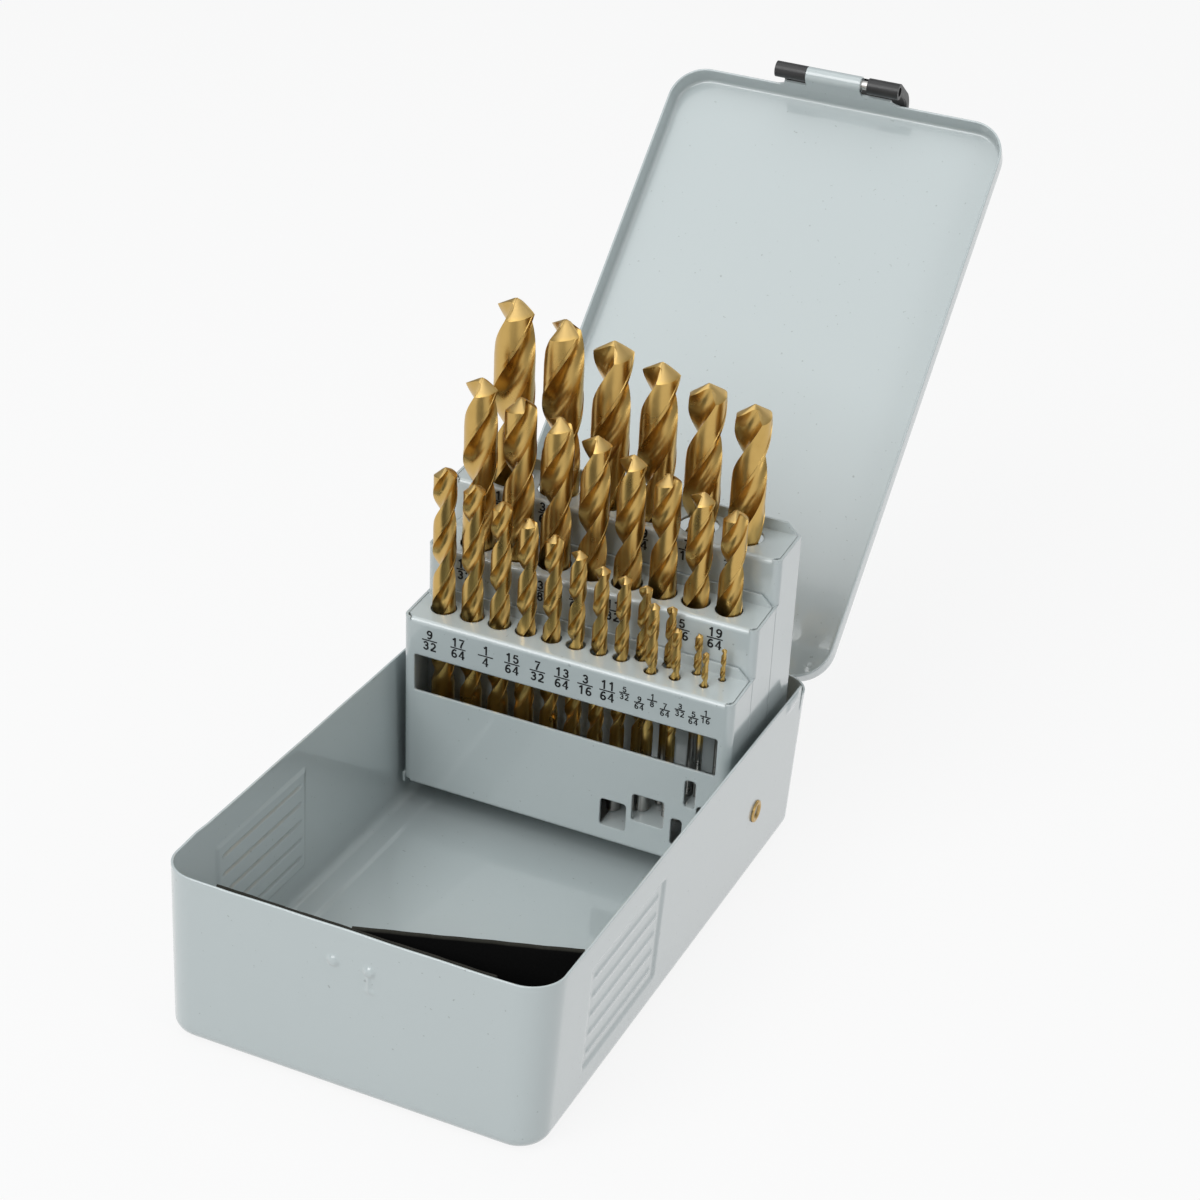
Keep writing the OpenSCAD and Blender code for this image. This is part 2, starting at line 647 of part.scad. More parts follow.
// Floor under the middle and back rows, with ears that stiffen the flanges at the pivot
module rack_floor() color(enamel) in_rack() difference() {
    floor_half = rack_half - rack_sheet - seam / 4;
    floor_front = face_1 + front_row_y + stagger + 2 * rack_bend;
    translate([0, floor_front, 0]) {
        translate([-floor_half, 0, -floor_drop - rack_sheet])
            cube([2 * floor_half, rack_back - floor_front, rack_sheet]);
        for (side = [-1, 1])
            translate([side * (floor_half - rack_sheet / 2), (rack_back - floor_front) / 2,
                       (window_z / 3 - floor_drop - rack_sheet) / 2])
                cube([rack_sheet, rack_back - floor_front, window_z / 3 + floor_drop + rack_sheet], center = true);
    }
    translate([-case_w, 0, 0]) knuckle(0, 2 * case_w, rivet_bore_r);
}

// Hollow rivet, drawn along +X: outer flange against the tray, inner flange against the rack
module pivot_rivet() {
    outer_x = half_w - wall_inset(pivot_z + rivet_flange_r);
    inner_x = rack_half - 2 * rack_sheet - seam / 4 - side_play;
    translate([0, pivot_y, pivot_z]) rotate([0, 90, 0]) rotate_extrude($fn = round_fn) {
        translate([rivet_r - rivet_wall, inner_x - rivet_wall])
            square([rivet_wall, outer_x - inner_x + 2 * rivet_wall]);
        translate([rivet_r - rivet_wall, inner_x - rivet_wall])
            square([rivet_flange_r - rivet_r + rivet_wall, rivet_wall]);
        translate([rivet_r - rivet_wall, outer_x])
            square([rivet_flange_r - rivet_r + rivet_wall / 2, rivet_wall]);
        translate([rivet_flange_r - rivet_wall / 2, outer_x + rivet_wall / 2])
            circle(r = rivet_wall / 2, $fn = 24);
    }
}

module pivot_rivet_left() color(brass) mirror([1, 0, 0]) pivot_rivet();
module pivot_rivet_right() color(brass) pivot_rivet();

// Spacer that keeps the rack clear of the tray's side wall
module pivot_spacer()
    translate([rack_half + side_play, pivot_y, pivot_z]) rotate([0, 90, 0]) difference() {
        cylinder(r = spacer_r, h = spacer_t, $fn = round_fn);
        translate([0, 0, -cut]) cylinder(r = rivet_bore_r, h = spacer_t + 2 * cut, $fn = round_fn);
    }

module pivot_spacer_left() color(steel) mirror([1, 0, 0]) pivot_spacer();
module pivot_spacer_right() color(steel) pivot_spacer();

// The front strip leans on the front wall, its foot on the bend at the base
foam_h = case_h - liner_drop - base_bend - base_foot;

module front_foam_strip() color(black)
    translate([-liner_left, -half_d, case_h]) rotate([wall_angle, 0, 0])
        translate([0, sheet + foam_play, -liner_drop - foam_h])
            cube([liner_left + half_w - 1.5 * corner_r, liner_t, foam_h]);

// The corner strip stands across the front right corner, from the front strip to the side wall
module corner_foam_strip() color(black) {
    start = [0, draft + sheet + 2 * foam_play + 2 * liner_t - half_d];
    end = [half_w - sheet - draft - foam_play, liner_corner_y - half_d];
    foot = base_foot + sheet + foam_play;
    run = norm(end - start);
    translate([start[0], start[1], foot]) rotate([90, 0, atan2(end[1] - start[1], end[0] - start[0])])
        linear_extrude(liner_t)
            polygon([[0, 0], [run - base_bend, 0], [run, base_bend], [run, case_h - liner_drop - foot],
                     [0, case_h - liner_drop - foot]]);
}

// Half of the fluted section: shares of the drill's radius, each with its angle
flute_share = [[1, 0], [1, 34], [1, 68], [0.5, 96], [0.32, 138]];
section_points = 2 * len(flute_share);
// Rings along the fluted part, and the share of it over which the flutes run out
twist_rings = 15;
runout_share = 0.16;
// Length in which the flutes make one turn, as a multiple of the diameter
flute_pitch_share = 5.4;
// Half of the angle at the drill's point
point_half_angle = 59;
// Radius of the fluted body and of the point's chisel edge, as shares of the shank's
body_share = 0.985;
chisel_share = 0.12;

// One section of a drill of radius r, turned by a, with flutes cut to a share of their depth
function flute_ring(r, z, a, depth) =
    [for (side = [0, 180], p = flute_share)
        [r * (1 - depth * (1 - p[0])) * cos(side + p[1] + a), r * (1 - depth * (1 - p[0])) * sin(side + p[1] + a), z]];

// Fluted part of a drill: sections turned along a helix, closed by the point
module fluted_body(n) {
    r = drill_d(n) / 2;
    z0 = drill_l(n) - flute_l(n);
    body_l = flute_l(n) - r / tan(point_half_angle);
    turn = 360 * body_l / (flute_pitch_share * drill_d(n));
    rings = concat(
        [flute_ring(r * body_share, z0 - lap, 0, 0)],
        [for (k = [1:twist_rings]) let (t = k / twist_rings)
            flute_ring(r * body_share, z0 + body_l * t, turn * t, min(1, t / runout_share))],
        [flute_ring(r * chisel_share, drill_l(n), turn, 1)]);
    m = section_points;
    last = len(rings) - 1;
    polyhedron(
        points = [for (ring = rings, p = ring) p],
        faces = concat(
            [[for (i = [0:m - 1]) i]],
            [for (k = [0:last - 1], i = [0:m - 1]) [k * m + i, (k + 1) * m + i, (k + 1) * m + (i + 1) % m]],
            [for (k = [0:last - 1], i = [0:m - 1]) [k * m + i, (k + 1) * m + (i + 1) % m, k * m + (i + 1) % m]],
            [[for (i = [m - 1:-1:0]) last * m + i]]));
}

// One twist drill, standing on its shank at the origin
module drill(n) {
    color(steel) cylinder(r = drill_d(n) / 2, h = drill_l(n) - flute_l(n), $fn = round_fn);
    color(gold) fluted_body(n);
}

module placed_drill(n) in_rack() translate([drill_x(n), drill_y(n), drill_z(n)]) drill(n);

tray();
lid();
hinge_wire();
latch_lever();
latch_pin();
rack_front_tier();
rack_middle_tier();
rack_back_tier();
rack_floor();
pivot_rivet_left();
pivot_rivet_right();
pivot_spacer_left();
pivot_spacer_right();
front_foam_strip();
corner_foam_strip();
for (n = drill_sizes)
    placed_drill(n);
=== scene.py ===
"""Looks of a drill bit case: an open case of enamelled sheet steel, a stepped rack and 29 twist drills.

Lengths are in millimetres and angles in degrees until a mesh is made. X runs across the case, the
latch is at -Y, the lid hinge at +Y, and Z is up from the tray's underside.
"""
import math

import bpy
import numpy as np
from mathutils import Matrix, Vector


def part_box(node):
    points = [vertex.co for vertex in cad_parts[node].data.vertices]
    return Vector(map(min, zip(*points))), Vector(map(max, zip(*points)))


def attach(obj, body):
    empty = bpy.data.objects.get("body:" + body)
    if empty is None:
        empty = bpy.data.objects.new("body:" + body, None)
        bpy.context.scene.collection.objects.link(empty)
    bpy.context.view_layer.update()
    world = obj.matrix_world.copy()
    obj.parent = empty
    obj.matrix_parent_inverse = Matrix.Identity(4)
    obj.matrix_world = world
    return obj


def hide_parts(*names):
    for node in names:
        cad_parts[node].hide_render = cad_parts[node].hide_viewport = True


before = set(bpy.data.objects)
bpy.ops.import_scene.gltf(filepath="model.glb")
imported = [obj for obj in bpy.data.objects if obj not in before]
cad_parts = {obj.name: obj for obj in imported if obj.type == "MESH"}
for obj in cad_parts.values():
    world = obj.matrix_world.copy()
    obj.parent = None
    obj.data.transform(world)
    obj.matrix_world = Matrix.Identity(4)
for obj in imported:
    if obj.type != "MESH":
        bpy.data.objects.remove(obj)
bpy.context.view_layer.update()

MM = 0.001
INCH = 25.4

# Angle between faces above which an edge is sharp, and points round a turned piece
CREASE = 35
TURNED_COUNT = 48

# Tray
HALF_W = 57.0
HALF_D = 97.5
CASE_H = 53.2
SHEET = 0.8
CORNER_R = 10.4
INNER_CORNER_R = 5.0
DRAFT = 1.3
BASE_BEND = 3.7
FOOT = 0.6
FOOT_BORDER = 11.0
FOOT_BEND = 1.2
FOOT_EASE = (0.5, 0.1)

# Pressed-in panel with ribs on each side wall; a rib's width and rise are for outside and inside
PANEL_Y = -44.5
PANEL_Z = 27.3
PANEL_HALF = (24.0, 16.2)
PANEL_DEPTH = 0.6
PANEL_SOFT = 0.9
RIB_PITCH = 6.1
RIB_COUNT = 5
RIB_ROWS = PANEL_Z + RIB_PITCH * (np.arange(RIB_COUNT) - RIB_COUNT // 2)
RIB_WIDTH = (0.85, 0.5)
RIB_RISE = (0.42, 0.75)
RIB_END_GAP = 2.6
RIB_END_SOFT = 0.6

# Catch dimples on the front wall, in X and Z, and the run of enamel under the second, which ends in a drop
DIMPLES = ((-4.0, 42.5), (6.5, 42.5))
DIMPLE_R = 1.4
DIMPLE_SOFT = 0.75
DIMPLE_RISE = 0.8
RUN_X = DIMPLES[1][0]
RUN_WIDTH = 0.55
RUN_Z = 39.2
RUN_HALF = 2.4
RUN_SOFT = 0.5
RUN_RISE = 0.45
DROP_AT = (RUN_X + 0.3, 36.4)
DROP_R = 0.65
DROP_WIDER = 1.8
DROP_RISE = 0.5

# Tray's rim: it moves up and down above KNEE_Z, and is lower behind a slit in each side wall
KNEE_Z = 44.0
SLIT_Y = 85.5
SLIT_HALF = 0.4
SLIT_SOFT = 0.15
SLIT_DEPTH = 8.2
LOW_RIM_Y = 86.0
LOW_RIM_SOFT = 0.3
BACK_WALL = 4.0
# Rise, turn in radians for each millimetre of X and of Y, and start
RIM_WAVES = ((0.06, 0.21, 0.0, 1.3), (0.05, 0.09, 0.17, 0.0))
RIM_BEADS = ((44.5, -97.5), (57.0, -84.5), (-49.0, -97.4), (-57.0, -78.0))
BEAD_R = 0.9
BEAD_RISE = 0.45

# Ear pressed out of each side wall in front of the slit: middle, half size and soft edge along Y and Z
EAR_AT = (77.5, CASE_H - 2.1)
EAR_HALF = (4.6, 1.5)
EAR_SOFT = (1.2, 0.7)
EAR_RISE = 0.55

# Where the tray's mesh has points: spans of (first, last, step), closer where something is pressed in
SIDE_SPANS = ((-86, 86, 8), (-72, -63, 0.6), (-60, -28, 4), (-26, -17.5, 0.6), (69, 83, 0.9),
              (83.4, 87, 0.25))
FRONT_SPANS = ((-46, 46, 3.5), (-8, 10.5, 0.45), (-23, -20, 0.25), (-8.6, -6, 0.25), (6, 8.6, 0.25),
               (20, 23, 0.25))
CORNER_COUNT = 15
# Points on a side that are no further apart than this become one
CLOSEST = 0.12
# Rows of the section: insets under the floor, heights on the wall, and steps from each rib and panel edge
FLOOR_INSETS = (50.0, 30.0)
LOW_ROWS = (5.5, 7.5, 9.2)
TOP_ROWS = (36, 52.7, 0.6)
RIB_STEPS = (0.0, 0.15, 0.3, 0.45, 0.65, 0.95, 1.4, 2.1)
PANEL_EDGE = 1.2

# Lid and its hinge
LID_GAP = 0.9
LID_GROW = LID_GAP + SHEET
LID_DEPTH = 7.3
LID_RIM_Z = 51.1
LID_TOP_Z = LID_RIM_Z + LID_DEPTH
LID_BEND = 1.8
LID_OPEN = 133.8
LID_INSETS = (50.0, 35.0, 20.0, 8.0, 3.5)
LID_LAST_ROW = 0.6
LID_SIDE_SPAN = (-86, 86, 4)
LID_FRONT_SPAN = (-46, 46, 4)
LID_CORNER_COUNT = 18
HINGE_Z = 49.1
HINGE_OUT = 1.7
HINGE_Y = HALF_D - DRAFT * (CASE_H - HINGE_Z) / CASE_H - SHEET + HINGE_OUT
HINGE_R = 1.9
HINGE_BORE = 1.1
KNUCKLE_L = 14.0
KNUCKLE_PITCH = 14.4
KNUCKLE_GAP = 0.4
KNUCKLE_EDGE = 0.15

# Latch, in the shut lid's place
LATCH_X = -1.0
LATCH_Z = 45.3
LATCH_ROLL_R = 2.65
LATCH_ROLL_L = 19.3
LATCH_ROLL_EDGE = 0.2
LATCH_ROOM = 21.7
LATCH_TAB_W = 37.6
LATCH_BORE = 1.55

# Rack, measured from its pivot; drills and labels go by 64ths of an inch
PIVOT_Y = 54.6
PIVOT_Z = 24.7
RACK_LEAN = 4.7
TIER_FACES = (-18.2, -2.8, 12.8)
TIER_DRILLS = {"front": range(4, 19), "middle": range(19, 27), "back": range(27, 33)}

# Twist drill: lengths are shares of its radius
HALF_WEB = 0.17
LAND_R = 0.965
LAND_END_R = 0.955
HEEL_R = 0.94
FLUTE_ARC_BACK = 0.42
LIP_RELIEF = 0.3
RUN_OUT = 2.6
RUN_OUT_POWER = 0.8
CHAMFER_SHARE = 0.25
# Pitch in diameters
PITCH_SHARE = 5.4
# Angles round the section; the margin's and the land's are counted back from the lip
MARGIN = 9
MARGIN_STEP = 1.5
LAND_TURNS = (22, 34, 46, 58, 68, 76)
HEEL_AT = -74
SECTION_TURN = -9
POINT_HALF_ANGLE = 59
# Millimetres
CHAMFER = 0.5
FOOT_LIFT = 0.04
SHANK_END_GAP = 0.05
# Points and rows of a drill's mesh, and the shares of the cone at which its point has rings
FLUTE_COUNT = 13
LIP_COUNT = 4
ROWS_A_TURN = 54
ROW_LIMITS = (60, 170)
TIP_SHARES = (0.8, 0.55, 0.3, 0.12)
DRILL_CREASE = 28

# Flute lengths of the drills from 4 to 32 64ths, in sixteenths of an inch
FLUTE_SIXTEENTHS = (14, 16, 20, 24, 26, 28, 32, 34, 37, 39, 40, 42, 44, 46, 47,
                    49, 51, 53, 55, 56, 58, 60, 62, 63, 65, 67, 69, 70, 72)
# Turn of each drill about its axis
PHASES = {4: 8, 5: 167, 6: 163, 7: 134, 8: 79, 9: 94, 10: 98, 11: 111, 12: 118, 13: 120, 14: 98, 15: 146,
          16: 107, 17: 102, 18: 132, 19: 159, 20: 58, 21: 13, 22: 75, 23: 102, 24: 73, 25: 43, 26: 104,
          27: 167, 28: 168, 29: 131, 30: 152, 31: 112, 32: 133}
# How far the gold coat reaches below the flutes, where it isn't COAT_REACH, and over how much it fades
COAT_REACH = 8.0
COAT_BELOW = {4: 0.0, 6: 1.5}
COAT_FADE = 1.5

# Digit cell: width, step from digit to digit, and height as a share of the whole fraction's height
DIGIT_W = 0.62
DIGIT_STEP = 0.78
DIGIT_SHARE = 0.44
# Printed fractions: height, width of the bar and width of the digits' strokes
BIG_LABEL = (7.1, 5.0, 0.58)
SMALL_LABEL = (4.6, 3.2, 0.37)
BAR_H = 0.42
BAR_T = 0.04
INK_HALF_T = 0.025
INK_LIFT = 0.01
# Heights of the rows of labels, and their shifts from under the drills
ROW_LABEL_Z = (40.8, 58.2, 75.0)
ROW_LABEL_SHIFT = (0.0, -0.8, 0.0)
# Places of the small labels in the front row
SMALL_LABELS = {10: (19.4, 41.7), 9: (24.2, 39.8), 8: (28.2, 41.9), 7: (32.3, 39.9), 6: (36.9, 41.3),
                5: (41.2, 39.9), 4: (44.9, 41.4)}

# Foam: thickness, spacing of its sections, gaps to its node's bottom and top, and rows below its top edge
FOAM_T = 1.1
FOAM_STEP = 1.2
FOAM_LOW_GAP = 0.2
FOAM_TOP_GAP = 0.1
FOAM_ROWS = (3.0, 1.2, 0.9)
FOAM_TOP_EDGE_SOFT = 0.3
# Rise, turn in radians for each millimetre along the strip, and start; only near the top edge
FOAM_WAVES = ((0.06, 0.23, 0.0), (0.04, 0.71, 1.0))
FOAM_WAVE_REACH = 1.0
# Ends of the strips' middle lines, from their nodes' boxes and, for the corner's end, the tray's inside
FRONT_FOAM_GAP = (0.5, 0.6)
CORNER_FOAM_START = (-0.6, -0.2)
CORNER_FOAM_END = (-0.6, 0.3)

# Pivot rivets; RIVET_ROLL is the rolled flange's depth and half its width
RIVET_BORE_R = 1.5
RIVET_TUBE_R = 2.2
RIVET_FLANGE_R = 3.5
RIVET_ROLL = (0.45, 0.75)
RIVET_BORE_END = 0.8
RIVET_FLANGE_T = 0.75
RIVET_ROLL_COUNT = 9
# How much painted shade each point of the rivet's profile gets: the bore and the flange's underside are
# darkened where shade falls
RIVET_PAINTED_SHADE = (1.0, 0.6, 0.2, 0.15, 0.1, 0.05, 0.0, 0.0, 0.0, 0.0, 0.0, 0.9, 1.0, 1.0)

# Camera, in millimetres and degrees, for a square picture
CAMERA_AT = (258.99, -595.16, 442.69)
CAMERA_YAW = 21.67
CAMERA_PITCH = 27.38
CAMERA_ROLL = 4.81
FOCAL_SHARE = 2654.1 / 1200
SENSOR = 36

# Studio, in metres: lights have a place, an aim, a side and a power in watts
LIGHTS = {"key": ((-0.4, -1.3, 1.25), (0, 0.05, 0.08), 1.2, 20),
          "overhead": ((-0.35, 0.0, 1.5), (-0.35, 0, 0), 1.4, 7),
          "side": ((1.6, -0.4, 0.7), (0, 0, 0.06), 0.9, 5.5),
          "back": ((0.3, 1.5, 1.0), (0, 0, 0.1), 1.0, 3)}
SURROUND = (0.95, 0.98, 1.0)
SURROUND_STRENGTH = 0.42
FLOOR_HALF = 6.0
FLOOR_GREY = 0.6
FLOOR_GLOW_SHARE = 0.88


def smooth_step(t):
    """0 below t = 0, 1 above t = 1, and 3t^2 - 2t^3 between."""
    t = np.clip(t, 0, 1)
    return t * t * (3 - 2 * t)


def soft_box(t, half, soft):
    """1 where |t| is under half - soft, 0 where it is over half + soft, smooth between."""
    return smooth_step((half + soft - np.abs(t)) / (2 * soft))


def bump(t, width):
    """Bell curve of height 1: the power -(t / width)^2 of e."""
    return np.exp(-(t / width) ** 2)


def node_box(name):
    """Lowest and highest corner of a CAD node at rest."""
    low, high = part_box(name)
    return np.array(low) / MM, np.array(high) / MM


# Meshes

def new_piece(name, points, faces, crease=CREASE):
    """Object with points in millimetres, its faces turned outwards by their signed volume."""
    mesh = bpy.data.meshes.new(name)
    mesh.from_pydata((points * MM).tolist(), [], faces)
    mesh.calc_loop_triangles()
    corners = np.zeros(len(mesh.loop_triangles) * 3, np.int32)
    mesh.loop_triangles.foreach_get("vertices", corners)
    a, b, c = (points[corners.reshape(-1, 3)[:, i]] for i in range(3))
    if np.einsum("ij,ij->i", a, np.cross(b, c)).sum() < 0:
        mesh.flip_normals()
    mesh.shade_smooth()
    mesh.set_sharp_from_angle(angle=math.radians(crease))
    piece = bpy.data.objects.new(name, mesh)
    bpy.context.scene.collection.objects.link(piece)
    return piece


def ring_faces(rows, around, wrap_rows=False):
    """Quads of a grid that closes round its second index, and round its first too if wrap_rows."""
    index = np.arange(rows * around).reshape(rows, around)
    upper = np.roll(index, -1, axis=0) if wrap_rows else index[1:]
    lower = index if wrap_rows else index[:-1]
    quads = np.stack([lower, np.roll(lower, -1, 1), np.roll(upper, -1, 1), upper], -1)
    return quads.reshape(-1, 4).tolist()


def loft(name, rings, crease=CREASE):
    """Stack of closed rings (row, around, xyz), each end closed by a fan to the middle of its ring."""
    rows, around = rings.shape[:2]
    last = rows * around
    points = np.concatenate([rings.reshape(-1, 3), rings[:1].mean(1), rings[-1:].mean(1)])
    ends = [[(i + 1) % around, i, last] for i in range(around)]
    ends += [[last - around + i, last - around + (i + 1) % around, last + 1] for i in range(around)]
    return new_piece(name, points, ring_faces(rows, around) + ends, crease)


def turned(name, profile, at):
    """Closed profile of (x, radius) points turned about the X axis through the point at."""
    x, r = np.array(profile, float)[..., None].transpose(1, 0, 2)
    a = np.linspace(0, 2 * np.pi, TURNED_COUNT, endpoint=False)
    points = np.stack([x + 0 * a, r * np.cos(a), r * np.sin(a)], -1)
    return new_piece(name, (points + at).reshape(-1, 3), ring_faces(len(x), TURNED_COUNT, True))


def joined(name, parts):
    """One piece from several objects, which it takes over."""
    points, faces = [], []
    for part in parts:
        co = np.zeros(len(part.data.vertices) * 3)
        part.data.vertices.foreach_get("co", co)
        start = sum(len(p) for p in points)
        points.append(co.reshape(-1, 3) / MM)
        faces += [[start + v for v in f.vertices] for f in part.data.polygons]
        bpy.data.objects.remove(part)
    return new_piece(name, np.concatenate(points), faces)


def add_attribute(piece, name, values):
    """Puts one value on each point of a piece, for its material to read."""
    attribute = piece.data.attributes.new(name, "FLOAT", "POINT")
    attribute.data.foreach_set("value", np.asarray(values, np.float32))


def finished(piece, body, slot, material, *nodes):
    """Gives a piece its body and its material, and hides the CAD nodes that it stands for; slot is not used.
    """
    piece.data.materials.append(material)
    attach(piece, body)
    if nodes:
        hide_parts(*nodes)
    return piece


def turn_x(points, angle, y, z):
    """Turns points by angle about the line along X through y and z."""
    c, s = math.cos(math.radians(angle)), math.sin(math.radians(angle))
    dy, dz = points[..., 1] - y, points[..., 2] - z
    return np.stack([points[..., 0], y + c * dy - s * dz, z + s * dy + c * dz], -1)


def opened(points):
    """Points of the shut lid, swung open about the hinge."""
    return turn_x(points, -LID_OPEN, HINGE_Y, HINGE_Z)


def in_rack(points):
    """Points measured from the rack's pivot, leaned forward and set in the case."""
    return turn_x(points, RACK_LEAN, 0, 0) + np.array([0, PIVOT_Y, PIVOT_Z])


# Pressed pans

class Outline:
    """Points round a rectangle with round corners.

    Each point is the middle of its corner's circle, shared out along a straight side by its
    place there, plus the corner's radius times the point's outward direction.
    """

    def __init__(self, sides, fronts, corner_count):
        quarter = np.radians(np.linspace(0, 90, corner_count + 2)[1:-1])
        ones = np.ones(corner_count)
        rows = []
        for turn, share in ((0, sides), (90, fronts[::-1]), (180, sides[::-1]), (270, fronts)):
            start = math.radians(turn)
            out_x, out_y = (round(f(start)) * np.ones(len(share)) for f in (math.cos, math.sin))
            at = [out_x, share] if turn in (0, 180) else [share, out_y]
            rows.append(np.stack([*at, out_x, out_y], -1))
            corner_x, corner_y = (np.sign(f(start + math.pi / 4)) * ones for f in (math.cos, math.sin))
            rows.append(np.stack([corner_x, corner_y, np.cos(quarter + start), np.sin(quarter + start)], -1))
        self.ax, self.ay, self.nx, self.ny = np.concatenate(rows).T

    def rings(self, half_w, half_d, radius, z):
        """Rings for arrays of half widths, half depths, corner radii and heights."""
        half_w, half_d, radius, z = (np.asarray(v, float)[:, None] for v in (half_w, half_d, radius, z))
        return np.stack([(half_w - radius) * self.ax + radius * self.nx,
                         (half_d - radius) * self.ay + radius * self.ny,
                         z + 0 * self.ax], -1)


def places(half, *spans):
    """Shares of half along a side, from spans of (first, last, step) in millimetres, ends included."""
    found = [-half, half]
    for first, last, step in spans:
        found += list(np.arange(first, last + step / 2, step))
    found = np.unique(np.round(np.clip(found, -half, half), 3))
    keep = np.concatenate([[True], np.diff(found) > CLOSEST])
    return found[keep] / half


def wall_inset(z):
    """How far a tray wall stands in from the rim at height z."""
    return DRAFT * (CASE_H - z) / CASE_H


def quarter_bend(radius):
    """Two arrays, from 1 to 0 and from 0 to 1 times radius, that together run round a quarter circle."""
    arc = np.radians(np.linspace(0, 90, 9))
    return radius * (1 - np.sin(arc)), radius * (1 - np.cos(arc))


def rim_fold():
    """Insets and rises of the half circle between a sheet's outer and inner face."""
    fold = np.radians(np.linspace(0, 180, 7)[1:-1])
    return SHEET / 2 * (1 - np.cos(fold)), SHEET / 2 * (1 - np.sin(fold))


def tray_side(sheet):
    """Insets and heights of the tray's outer face (sheet is 0) or of its inner one, a sheet further in."""
    edge = np.linspace(-PANEL_EDGE, PANEL_EDGE, 7)
    steps = np.array([*RIB_STEPS, *(-step for step in RIB_STEPS)])
    ribs = (RIB_ROWS[:, None] + steps).ravel()
    wall = np.concatenate([LOW_ROWS, ribs, PANEL_Z - PANEL_HALF[1] + edge, PANEL_Z + PANEL_HALF[1] + edge,
                           np.arange(*TOP_ROWS)])
    wall = np.unique(np.round(wall, 2))
    ease, ease_z = FOOT_EASE
    floor = [(inset, 0) for inset in FLOOR_INSETS]
    foot = [(FOOT_BORDER + FOOT_BEND, 0), (FOOT_BORDER + ease, ease_z), (FOOT_BORDER, FOOT / 2),
            (FOOT_BORDER - ease, FOOT - ease_z), (FOOT_BORDER - FOOT_BEND, FOOT)]
    bend_in, bend_up = quarter_bend(BASE_BEND - sheet)
    bend = np.stack([wall_inset(FOOT + BASE_BEND) + sheet + bend_in, FOOT + sheet + bend_up], -1)
    return np.concatenate([np.array(floor + foot) + [0, sheet], bend,
                           np.stack([wall_inset(wall) + sheet, wall], -1)])


def tray_profile():
    """Insets and heights of the tray's section, from under its middle, over the rim, to its floor."""
    fold_in, fold_down = rim_fold()
    rim = np.stack([fold_in, CASE_H - fold_down], -1)
    return np.concatenate([tray_side(0), rim, tray_side(SHEET)[::-1]])


def side_panel_depth(y, z, inside):
    """Depth of the pressed-in panel: a soft-edged rectangle, less its ribs, which differ seen from inside."""
    half_l, half_h = PANEL_HALF
    panel = soft_box(y - PANEL_Y, half_l, PANEL_SOFT) * soft_box(z - PANEL_Z, half_h, PANEL_SOFT)
    width, rise = (np.where(inside, inner, outer) for outer, inner in (RIB_WIDTH, RIB_RISE))
    ribs = sum(bump(z - row, width) for row in RIB_ROWS)
    return PANEL_DEPTH * panel - rise * ribs * soft_box(y - PANEL_Y, half_l - RIB_END_GAP, RIB_END_SOFT)


def front_rise(x, z):
    """How far the front wall stands out: round dimples, and a run of enamel that ends in a drop."""
    rounds = [DIMPLE_RISE * soft_box(np.hypot(x - at, z - up), DIMPLE_R, DIMPLE_SOFT) for at, up in DIMPLES]
    run = RUN_RISE * bump(x - RUN_X, RUN_WIDTH) * soft_box(z - RUN_Z, RUN_HALF, RUN_SOFT)
    drop = DROP_RISE * bump(np.hypot((x - DROP_AT[0]) / DROP_WIDER, z - DROP_AT[1]), DROP_R)
    return np.maximum.reduce([*rounds, run + drop])


def rim_height(x, y):
    """Height of the tray's rim: full, but lower behind the side slits and at the lid's knuckles."""
    behind = smooth_step((y - LOW_RIM_Y) / LOW_RIM_SOFT)
    slit = soft_box(y - SLIT_Y, SLIT_HALF, SLIT_SOFT)
    half = KNUCKLE_L / 2 + KNUCKLE_GAP
    knuckle = sum(soft_box(x - side * KNUCKLE_PITCH, half, SLIT_SOFT) for side in (-1, 1))
    drop = np.maximum(behind * (CASE_H - HINGE_Z), slit * SLIT_DEPTH)
    drop = drop + knuckle * (y > HALF_D - BACK_WALL) * (HINGE_R + KNUCKLE_GAP)
    uneven = sum(rise * np.sin(x * x_rate + y * y_rate + start) for rise, x_rate, y_rate, start in RIM_WAVES)
    beads = sum(bump(np.hypot(x - at_x, y - at_y), BEAD_R) for at_x, at_y in RIM_BEADS)
    return CASE_H - drop + uneven + BEAD_RISE * beads


def tray_shell():
    """Tray: its section carried round its outline, less or plus what is pressed into the walls."""
    outline = Outline(places(HALF_D - CORNER_R, *SIDE_SPANS), places(HALF_W - CORNER_R, *FRONT_SPANS),
                      CORNER_COUNT)
    inset, height = tray_profile().T
    radius = np.maximum(CORNER_R - inset, INNER_CORNER_R)
    x, y, z = np.moveaxis(outline.rings(HALF_W - inset, HALF_D - inset, radius, height), -1, 0)
    rim = rim_height(HALF_W * outline.ax, (HALF_D - CORNER_R) * outline.ay + CORNER_R * outline.ny)
    z = np.where(z > KNEE_Z, KNEE_Z + (z - KNEE_Z) * (rim - KNEE_Z) / (CASE_H - KNEE_Z), z)
    inside = (np.arange(len(inset)) > len(inset) // 2)[:, None]
    ear = np.prod([soft_box(v - at, half, soft) for v, at, half, soft
                   in zip((y, z), EAR_AT, EAR_HALF, EAR_SOFT)], axis=0)
    out = EAR_RISE * ear - side_panel_depth(y, z, inside)
    y = y - np.where(outline.ny < -0.99, front_rise(x, z), 0)
    x = x + np.where(np.abs(outline.nx) > 0.99, np.sign(x) * out, 0)
    return loft("tray_shell", np.stack([x, y, z], -1))


